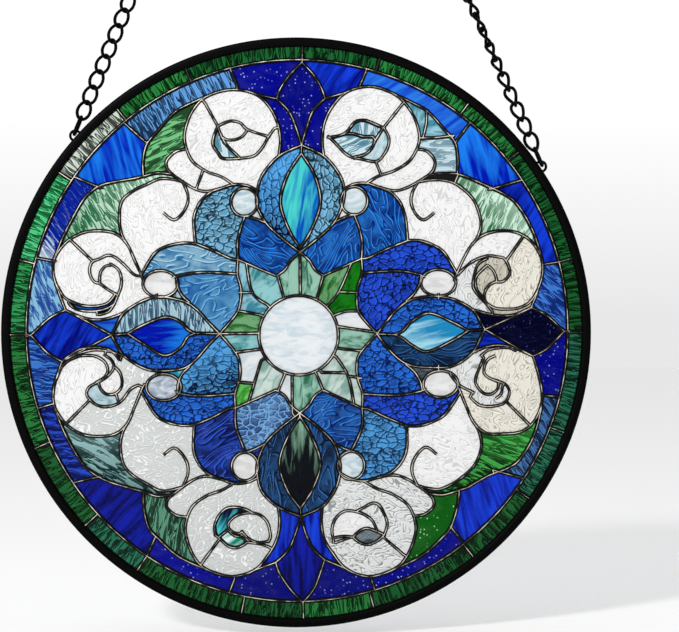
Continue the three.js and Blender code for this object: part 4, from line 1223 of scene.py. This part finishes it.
# %% Make the panes
PARTS = {
    "centre": (["centre_disc"], "ice_glass"), "star": (["star_ring"], "mint_glass"),
    "first_petal": (["first_petal"], "royal_glass"),
    "second_petal": (["second_petal"], "azure_glass"),
    "third_petal": (["third_petal"], "cobalt_glass"),
    "fourth_petal": (["fourth_petal"], "royal_glass"),
    "surround": (["top_jewel_surround", "right_jewel_surround", "bottom_jewel_surround",
                  "left_jewel_surround"], "azure_glass"),
    "jewel": (["top_jewel", "right_jewel", "bottom_jewel", "left_jewel"], "aqua_glass"),
    "pearl": (["upper_pearl", "side_pearl"], "white_glass"),
    "lobe": (["lobe"], "white_glass"), "side_scroll": (["side_scroll"], "white_glass"),
    "upper_scroll": (["upper_scroll"], "white_glass"), "leaf": (["leaf"], "leaf_glass"),
    "band": (["cobalt_ring"], "cobalt_glass"), "border": (["green_border"], "border_glass"),
}
seed = 0
for (part, finish), panes in sorted(panes_of.items()):
    nodes, slot = PARTS[part]
    corners, faces = [], []
    stored = {"grain": [], "deep": [], "pale": [], "fade": []}
    for outline, sheet, lie, fade in panes:
        seed += 1
        places, triangles_here, flat = slab(outline, GLASS_HALF)
        faces.append(triangles_here + sum(len(block) for block in corners))
        corners.append(places)
        deep, pale = SHEETS[sheet][1:]
        stored["grain"].append(grain_at(flat, flat.mean(axis=0), lie, part == "border", seed))
        stored["deep"].append(np.tile(linear(deep), (len(places), 1)))
        stored["pale"].append(np.tile(linear(pale), (len(places), 1)))
        stored["fade"].append(fade_at(flat, fade))
    name = f"{part}_{finish}"
    piece = solid_mesh(name, np.vstack(corners), np.vstack(faces).tolist(), GLASS[finish])
    for field, values in stored.items():
        put_on(piece.data, field, np.concatenate(values))
    whole = [f"{key}_{quarter}" for quarter in QUARTERS for key in nodes]
    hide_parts(*[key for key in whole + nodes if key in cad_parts])
    print(name, len(panes), "panes,", len(piece.data.polygons), "triangles")

# %% [markdown]
# Each pane is wrapped in copper foil, and the seams are run over with solder, which stands up as a
# bead on both sides. Tin solder is a bright metal, and a black patina is rubbed over it. A thin
# bright line along the crest is a painted highlight, broken in patches of about 5 mm.

# %% Soldered lead with a black patina and a painted crest highlight
PATCH_SIZE = 5
solder, shader = new_material("patinated_solder")
tree = solder.node_tree
crest = node(tree, "Attribute", attribute_name="crest").outputs["Fac"]
place = node(tree, "TexCoord").outputs["Object"]
scaled = node(tree, "VectorMath", {0: place, "Scale": 1 / (PATCH_SIZE * MM)}, operation="SCALE")
highlight_breaks = node(tree, "TexNoise", {"Vector": scaled, "Scale": 1.0, "Detail": 3.0})
uneven = node(tree, "MapRange", {"Value": highlight_breaks, "From Min": 0.3, "From Max": 0.7,
                                 "To Min": -0.04, "To Max": 0.02}, **SMOOTH)
raised = node(tree, "Math", {0: crest, 1: uneven}, operation="ADD")
# Painted highlight: a thin cream line where the crest is highest, broken in patches.
crest_highlight = node(tree, "MapRange", {"Value": raised, "From Min": 0.955, "From Max": 0.995}, **SMOOTH)
tint = node(tree, "Mix", {"Factor": crest_highlight, 6: linear("#030303"), 7: linear("#efe6d6")},
            data_type="RGBA")
shader.inputs["Metallic"].default_value = 0.7
shader.inputs["Roughness"].default_value = 0.42
tree.links.new(tint.outputs[2], shader.inputs["Base Color"])
print(solder.name, "with", len(tree.nodes), "nodes")

# %% [markdown]
# The channel, the wires and the beads are all one section carried along a path. The section is
# a superellipse, between a circle and a box, and a few small helpers carry it.

# %% Sections and paths
def turns(count):
    """Evenly spaced angles of a full turn, in radians."""
    return np.arange(count) * 2 * math.pi / count


def rounded(turn, power):
    """A corner of a superellipse at this turn."""
    return (np.sign(np.cos(turn)) * np.abs(np.cos(turn)) ** (2 / power),
            np.sign(np.sin(turn)) * np.abs(np.sin(turn)) ** (2 / power))


def tangents(path, closed):
    """The direction of a path at each of its places, one long."""
    ahead = np.roll(path, -1, axis=0) if closed else np.vstack([path[1:], path[-1:]])
    behind = np.roll(path, 1, axis=0) if closed else np.vstack([path[:1], path[:-1]])
    along = ahead - behind
    return along / np.maximum(np.linalg.norm(along, axis=1), 1e-6)[:, None]


def tube_faces(count, sides, closed):
    """The faces round a row of sections, with caps where the row is open."""
    rows = count if closed else count - 1
    rings = []
    for i in range(rows):
        here, there = i * sides, (i + 1) % count * sides
        for k in range(sides):
            following = (k + 1) % sides
            rings.append([here + k, there + k, there + following, here + following])
    if not closed:
        rings.append(list(range(sides)))
        rings.append(list(range((count - 1) * sides, count * sides))[::-1])
    return rings


print("a turn in 8 steps:", turns(8).round(2))

# %% [markdown]
# A hand-run bead swells and sinks a little every few millimetres. Its section is full at the sides
# and round on top. Each corner keeps its height as the crest, which the painted highlight follows.

# %% A bead of solder, and a blob
BEAD_SIDES = 10
BEAD_FULLNESS = 2.6
BEAD_LUMP = 4.0
SWELL = 0.12
BEAD_HEIGHT = 0.93
HEIGHT_SWING = 0.06
SHORTEST_STEP = 0.05
BLOB_LEVELS = 5
BLOB_SIDES = 8
corners, faces, crests = [], [], []


def add_shape(places, rings, crest):
    """Adds corners and faces to the solder."""
    first = len(corners)
    corners.extend(places.tolist())
    crests.extend(crest.tolist())
    faces.extend([[first + corner for corner in ring] for ring in rings])


def add_bead(line, closed=False):
    """Sweeps the bead's section along one line of the drawing."""
    line = np.asarray(line)
    steps = np.hypot(*np.diff(line, axis=0).T)
    line = line[np.insert(steps > SHORTEST_STEP, 0, True)]
    if closed:
        line = line[:-1]
    along = tangents(line, closed)
    out = np.stack([-along[:, 1], along[:, 0]], axis=1)
    lumps = np.array([noise.noise(Vector((x, z, 3)) / BEAD_LUMP) for x, z in line])
    turn = turns(BEAD_SIDES) + math.pi / 2
    side, rise = rounded(turn, BEAD_FULLNESS)
    half = LEAD_WIDTH / 2 * (1 + SWELL * lumps)
    flat = line[:, None, :] + out[:, None, :] * (side[None, :, None] * half[:, None, None])
    depth = np.outer(LEAD_HALF * (BEAD_HEIGHT + HEIGHT_SWING * lumps), rise)
    crest = np.broadcast_to(np.abs(np.sin(turn)), depth.shape)
    rings = tube_faces(len(line), BEAD_SIDES, closed)
    add_shape(in_place(flat.reshape(-1, 2), depth.ravel()), rings, crest.ravel())


def add_blob(place, radius):
    """A low rounded blob of solder where lines meet."""
    rows, crest = [], []
    for level in range(1, BLOB_LEVELS):
        tilt = math.pi * level / BLOB_LEVELS
        circle = np.stack([np.cos(turns(BLOB_SIDES)), np.sin(turns(BLOB_SIDES))], axis=1)
        rows.append(in_place(place + radius * math.sin(tilt) * circle,
                             -LEAD_HALF * math.cos(tilt)))
        crest += [abs(math.cos(tilt))] * BLOB_SIDES
    add_shape(np.vstack(rows), tube_faces(BLOB_LEVELS - 1, BLOB_SIDES, False), np.array(crest))


print("a bead is", LEAD_WIDTH, "mm wide and", round(2 * LEAD_HALF, 1), "mm deep")

# %% [markdown]
# Every line and loop of the drawing gets a bead, every joint a blob, and every sliver a fill.

# %% Solder the panel
BLOB_RADIUS = 1.7
BLOB_SPACING = 1.2
BLOB_LUMP = 2
LEAST_BLOB = 0.85
BLOB_SWING = 0.15
SMOOTH_ANGLE = 60
FILL_HALF = 0.8 * LEAD_HALF
FILL_RELIEF = 0.3
FILL_CREST = 0.85
for line in LINES:
    add_bead(line)
for loop in LOOPS:
    add_bead(loop, closed=True)
blobs = []
for place in JOINTS:
    if all(math.dist(place, other) > BLOB_SPACING for other in blobs):
        blobs.append(place)
        lump = noise.noise(Vector((*place, 0)) / BLOB_LUMP)
        add_blob(place, BLOB_RADIUS * (LEAST_BLOB + BLOB_SWING * lump))
for fill in fills:
    places, rings, flat = slab(fill, FILL_HALF, 0.0, FILL_RELIEF)
    add_shape(places, rings.tolist(), np.full(len(places), FILL_CREST))
lead = solid_mesh("lead_lines", np.array(corners), faces, solder, SMOOTH_ANGLE)
put_on(lead.data, "crest", crests)
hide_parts("lead_lines")
print("lead:", sum(len(face) - 2 for face in faces), "triangles,", len(blobs), "blobs")

# %% [markdown]
# The rim is a bent zinc channel, and the chains and the ring are steel wire. All are painted a
# satin black: the paint hides the metal, so it isn't metallic, and it reflects very little.

# %% Satin black paint
black, shader = new_material("satin_black_paint")
shader.inputs["Base Color"].default_value = linear("#050505")
shader.inputs["Roughness"].default_value = 0.45
shader.inputs["Specular IOR Level"].default_value = 0.03
print(black.name)

# %% [markdown]
# A bent wire keeps a round section that must not twist on its way. Each section is turned only as
# far as the path turns.

# %% Wire along a path
def swept(path, radius, sides, closed=False):
    """A round wire along a path of places in millimetres."""
    path = np.asarray(path, float)
    along = tangents(path, closed)
    first = np.cross(along, np.cross(np.gradient(along, axis=0), along))
    straight = np.linalg.norm(first, axis=1) < 1e-9
    first[straight] = np.cross(along[straight], (0, 1, 0))
    across = np.cross(along[0], first[0])
    turn = turns(sides)
    rows = []
    for direction, place in zip(along, path):
        across = across - direction * across.dot(direction)
        across /= np.linalg.norm(across)
        up = np.cross(direction, across)
        rows.append(place + radius * (np.outer(np.cos(turn), across)
                                      + np.outer(np.sin(turn), up)))
    return np.vstack(rows), tube_faces(len(path), sides, closed)


print("a short straight wire:", len(swept([(0, 0, 0), (1, 0, 0)], 1, 8)[0]), "corners")

# %% [markdown]
# The channel is swept round the disc. Two loops of wire are soldered to it where the chains
# pull, with their feet sunk a little into the channel.

# %% The rim, with its two soldered loops
RIM_STEPS = 240
RIM_SIDES = 20
RIM_FULLNESS = 5
LOOP_RADIUS = 2.6
LOOP_STEPS = 15
LOOP_SIDES = 10
LOOP_WIRE = 1.4
LOOP_HEIGHT = 3.8
LOOP_SEAT = 1.3
LOOP_FOOT = 1
LOOP_ANGLES = {"left": 138.3, "right": 34.1}
in_out, depth = rounded(turns(RIM_SIDES), RIM_FULLNESS)
section_radius = ((PANEL_RADIUS + RIM_INNER_RADIUS) / 2
                  + in_out * (PANEL_RADIUS - RIM_INNER_RADIUS) / 2)
rim_corners = []
rim_faces = tube_faces(RIM_STEPS, RIM_SIDES, True)
for i in range(RIM_STEPS):
    flat = np.array([polar(360 * i / RIM_STEPS, radius) for radius in section_radius])
    rim_corners.append(in_place(flat, RIM_HALF_DEPTH * depth))
for angle in LOOP_ANGLES.values():
    out = heading(angle)
    side = heading(angle + 90)
    foot = out * (PANEL_RADIUS - LOOP_FOOT)
    reach = PANEL_RADIUS + LOOP_HEIGHT - LOOP_WIRE / 2 - LOOP_RADIUS
    path = [foot + side * LOOP_RADIUS]
    path += [out * (reach + LOOP_RADIUS * math.sin(bend)) + side * LOOP_RADIUS * math.cos(bend)
             for bend in np.linspace(0, math.pi, LOOP_STEPS)]
    path += [foot - side * LOOP_RADIUS]
    wire, rings = swept([(x, 0, z) for x, z in path], LOOP_WIRE / 2, LOOP_SIDES)
    first = sum(len(block) for block in rim_corners)
    rim_faces += [[first + corner for corner in ring] for ring in rings]
    rim_corners.append(wire * MM + np.array(PANEL_MIDDLE))
rim = solid_mesh("rim", np.vstack(rim_corners), rim_faces, black)
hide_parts("rim")
print("rim:", len(rim_faces), "faces")

# %% [markdown]
# In a curb chain every link is an oval of wire twisted by a quarter turn, so that the links lie
# flat and still pass through each other. Both runs lead from a loop of the rim to the ring. The
# left one hangs flat to the front, and the right one turns slowly over on its way down.

# %% Curb chain
ring_low, ring_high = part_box("hanging_ring")
RING_MIDDLE = np.array((ring_low + ring_high) / 2) / MM
RING_WIRE = 2.0
RING_RADIUS = (ring_high.x - ring_low.x) / 2 / MM - RING_WIRE / 2
CHAIN_WIRE = 1.7
LINK_HALF_LENGTH = 4.9
LINK_HALF_WIDTH = 3.25
LINK_PITCH = 8.55
LINK_FULLNESS = 2.3
LINK_STEPS = 28
LINK_SIDES = 8
LINK_TWIST = math.pi / 2
SLOW_TURN = math.pi / 18
CHAIN_GAP = 0.3


def link(roll, twist):
    """One twisted oval of wire, along X, in millimetres."""
    along, side = rounded(turns(LINK_STEPS), LINK_FULLNESS)
    lean = roll + twist * along / 2
    width = LINK_HALF_WIDTH * side
    path = np.stack([LINK_HALF_LENGTH * along, width * np.sin(lean), width * np.cos(lean)], axis=1)
    return swept(path, CHAIN_WIRE / 2, LINK_SIDES, closed=True)


def chain(name, angle, roll_per_link):
    """A run of links from the ring to the loop at this angle."""
    x, z = (PANEL_RADIUS + LOOP_SEAT) * heading(angle)
    seat = np.array(PANEL_MIDDLE) / MM + (x, 0, z)
    direction = (seat - RING_MIDDLE) / np.linalg.norm(seat - RING_MIDDLE)
    start = RING_MIDDLE + direction * (RING_RADIUS - RING_WIRE / 2 - CHAIN_GAP - CHAIN_WIRE / 2)
    length = np.linalg.norm(seat - start) - 2 * LINK_HALF_LENGTH
    up = np.cross(direction, (0, 1, 0))
    count = math.ceil(length / LINK_PITCH) + 1
    corners, faces = [], []
    for i in range(count):
        at_end = i in (0, count - 1)
        roll = math.pi / 2 if at_end else (count - 1 - i) * roll_per_link
        wire, rings = link(roll, 0 if at_end else LINK_TWIST)
        centre = start + direction * (LINK_HALF_LENGTH + length * i / (count - 1))
        faces += [[len(corners) * len(wire) + corner for corner in ring] for ring in rings]
        corners.append((wire @ np.stack([direction, (0, 1, 0), up]) + centre) * MM)
    piece = solid_mesh(name, np.vstack(corners), faces, black)
    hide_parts(name)
    print(name, count, "links,", 2 * len(faces), "triangles")


chain("chain_left", LOOP_ANGLES["left"], 0)
chain("chain_right", LOOP_ANGLES["right"], SLOW_TURN)

# %% [markdown]
# One ring of thicker wire holds both chains, and hangs on the hook.

# %% The ring
RING_STEPS = 64
RING_SIDES = 12
turn = turns(RING_STEPS)
circle = RING_MIDDLE + RING_RADIUS * np.stack([np.cos(turn), 0 * turn, np.sin(turn)], axis=1)
wire, rings = swept(circle, RING_WIRE / 2, RING_SIDES, closed=True)
ring = solid_mesh("hanging_ring", wire * MM, rings, black)
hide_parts("hanging_ring")
print("ring of", round(2 * RING_RADIUS, 1), "mm")
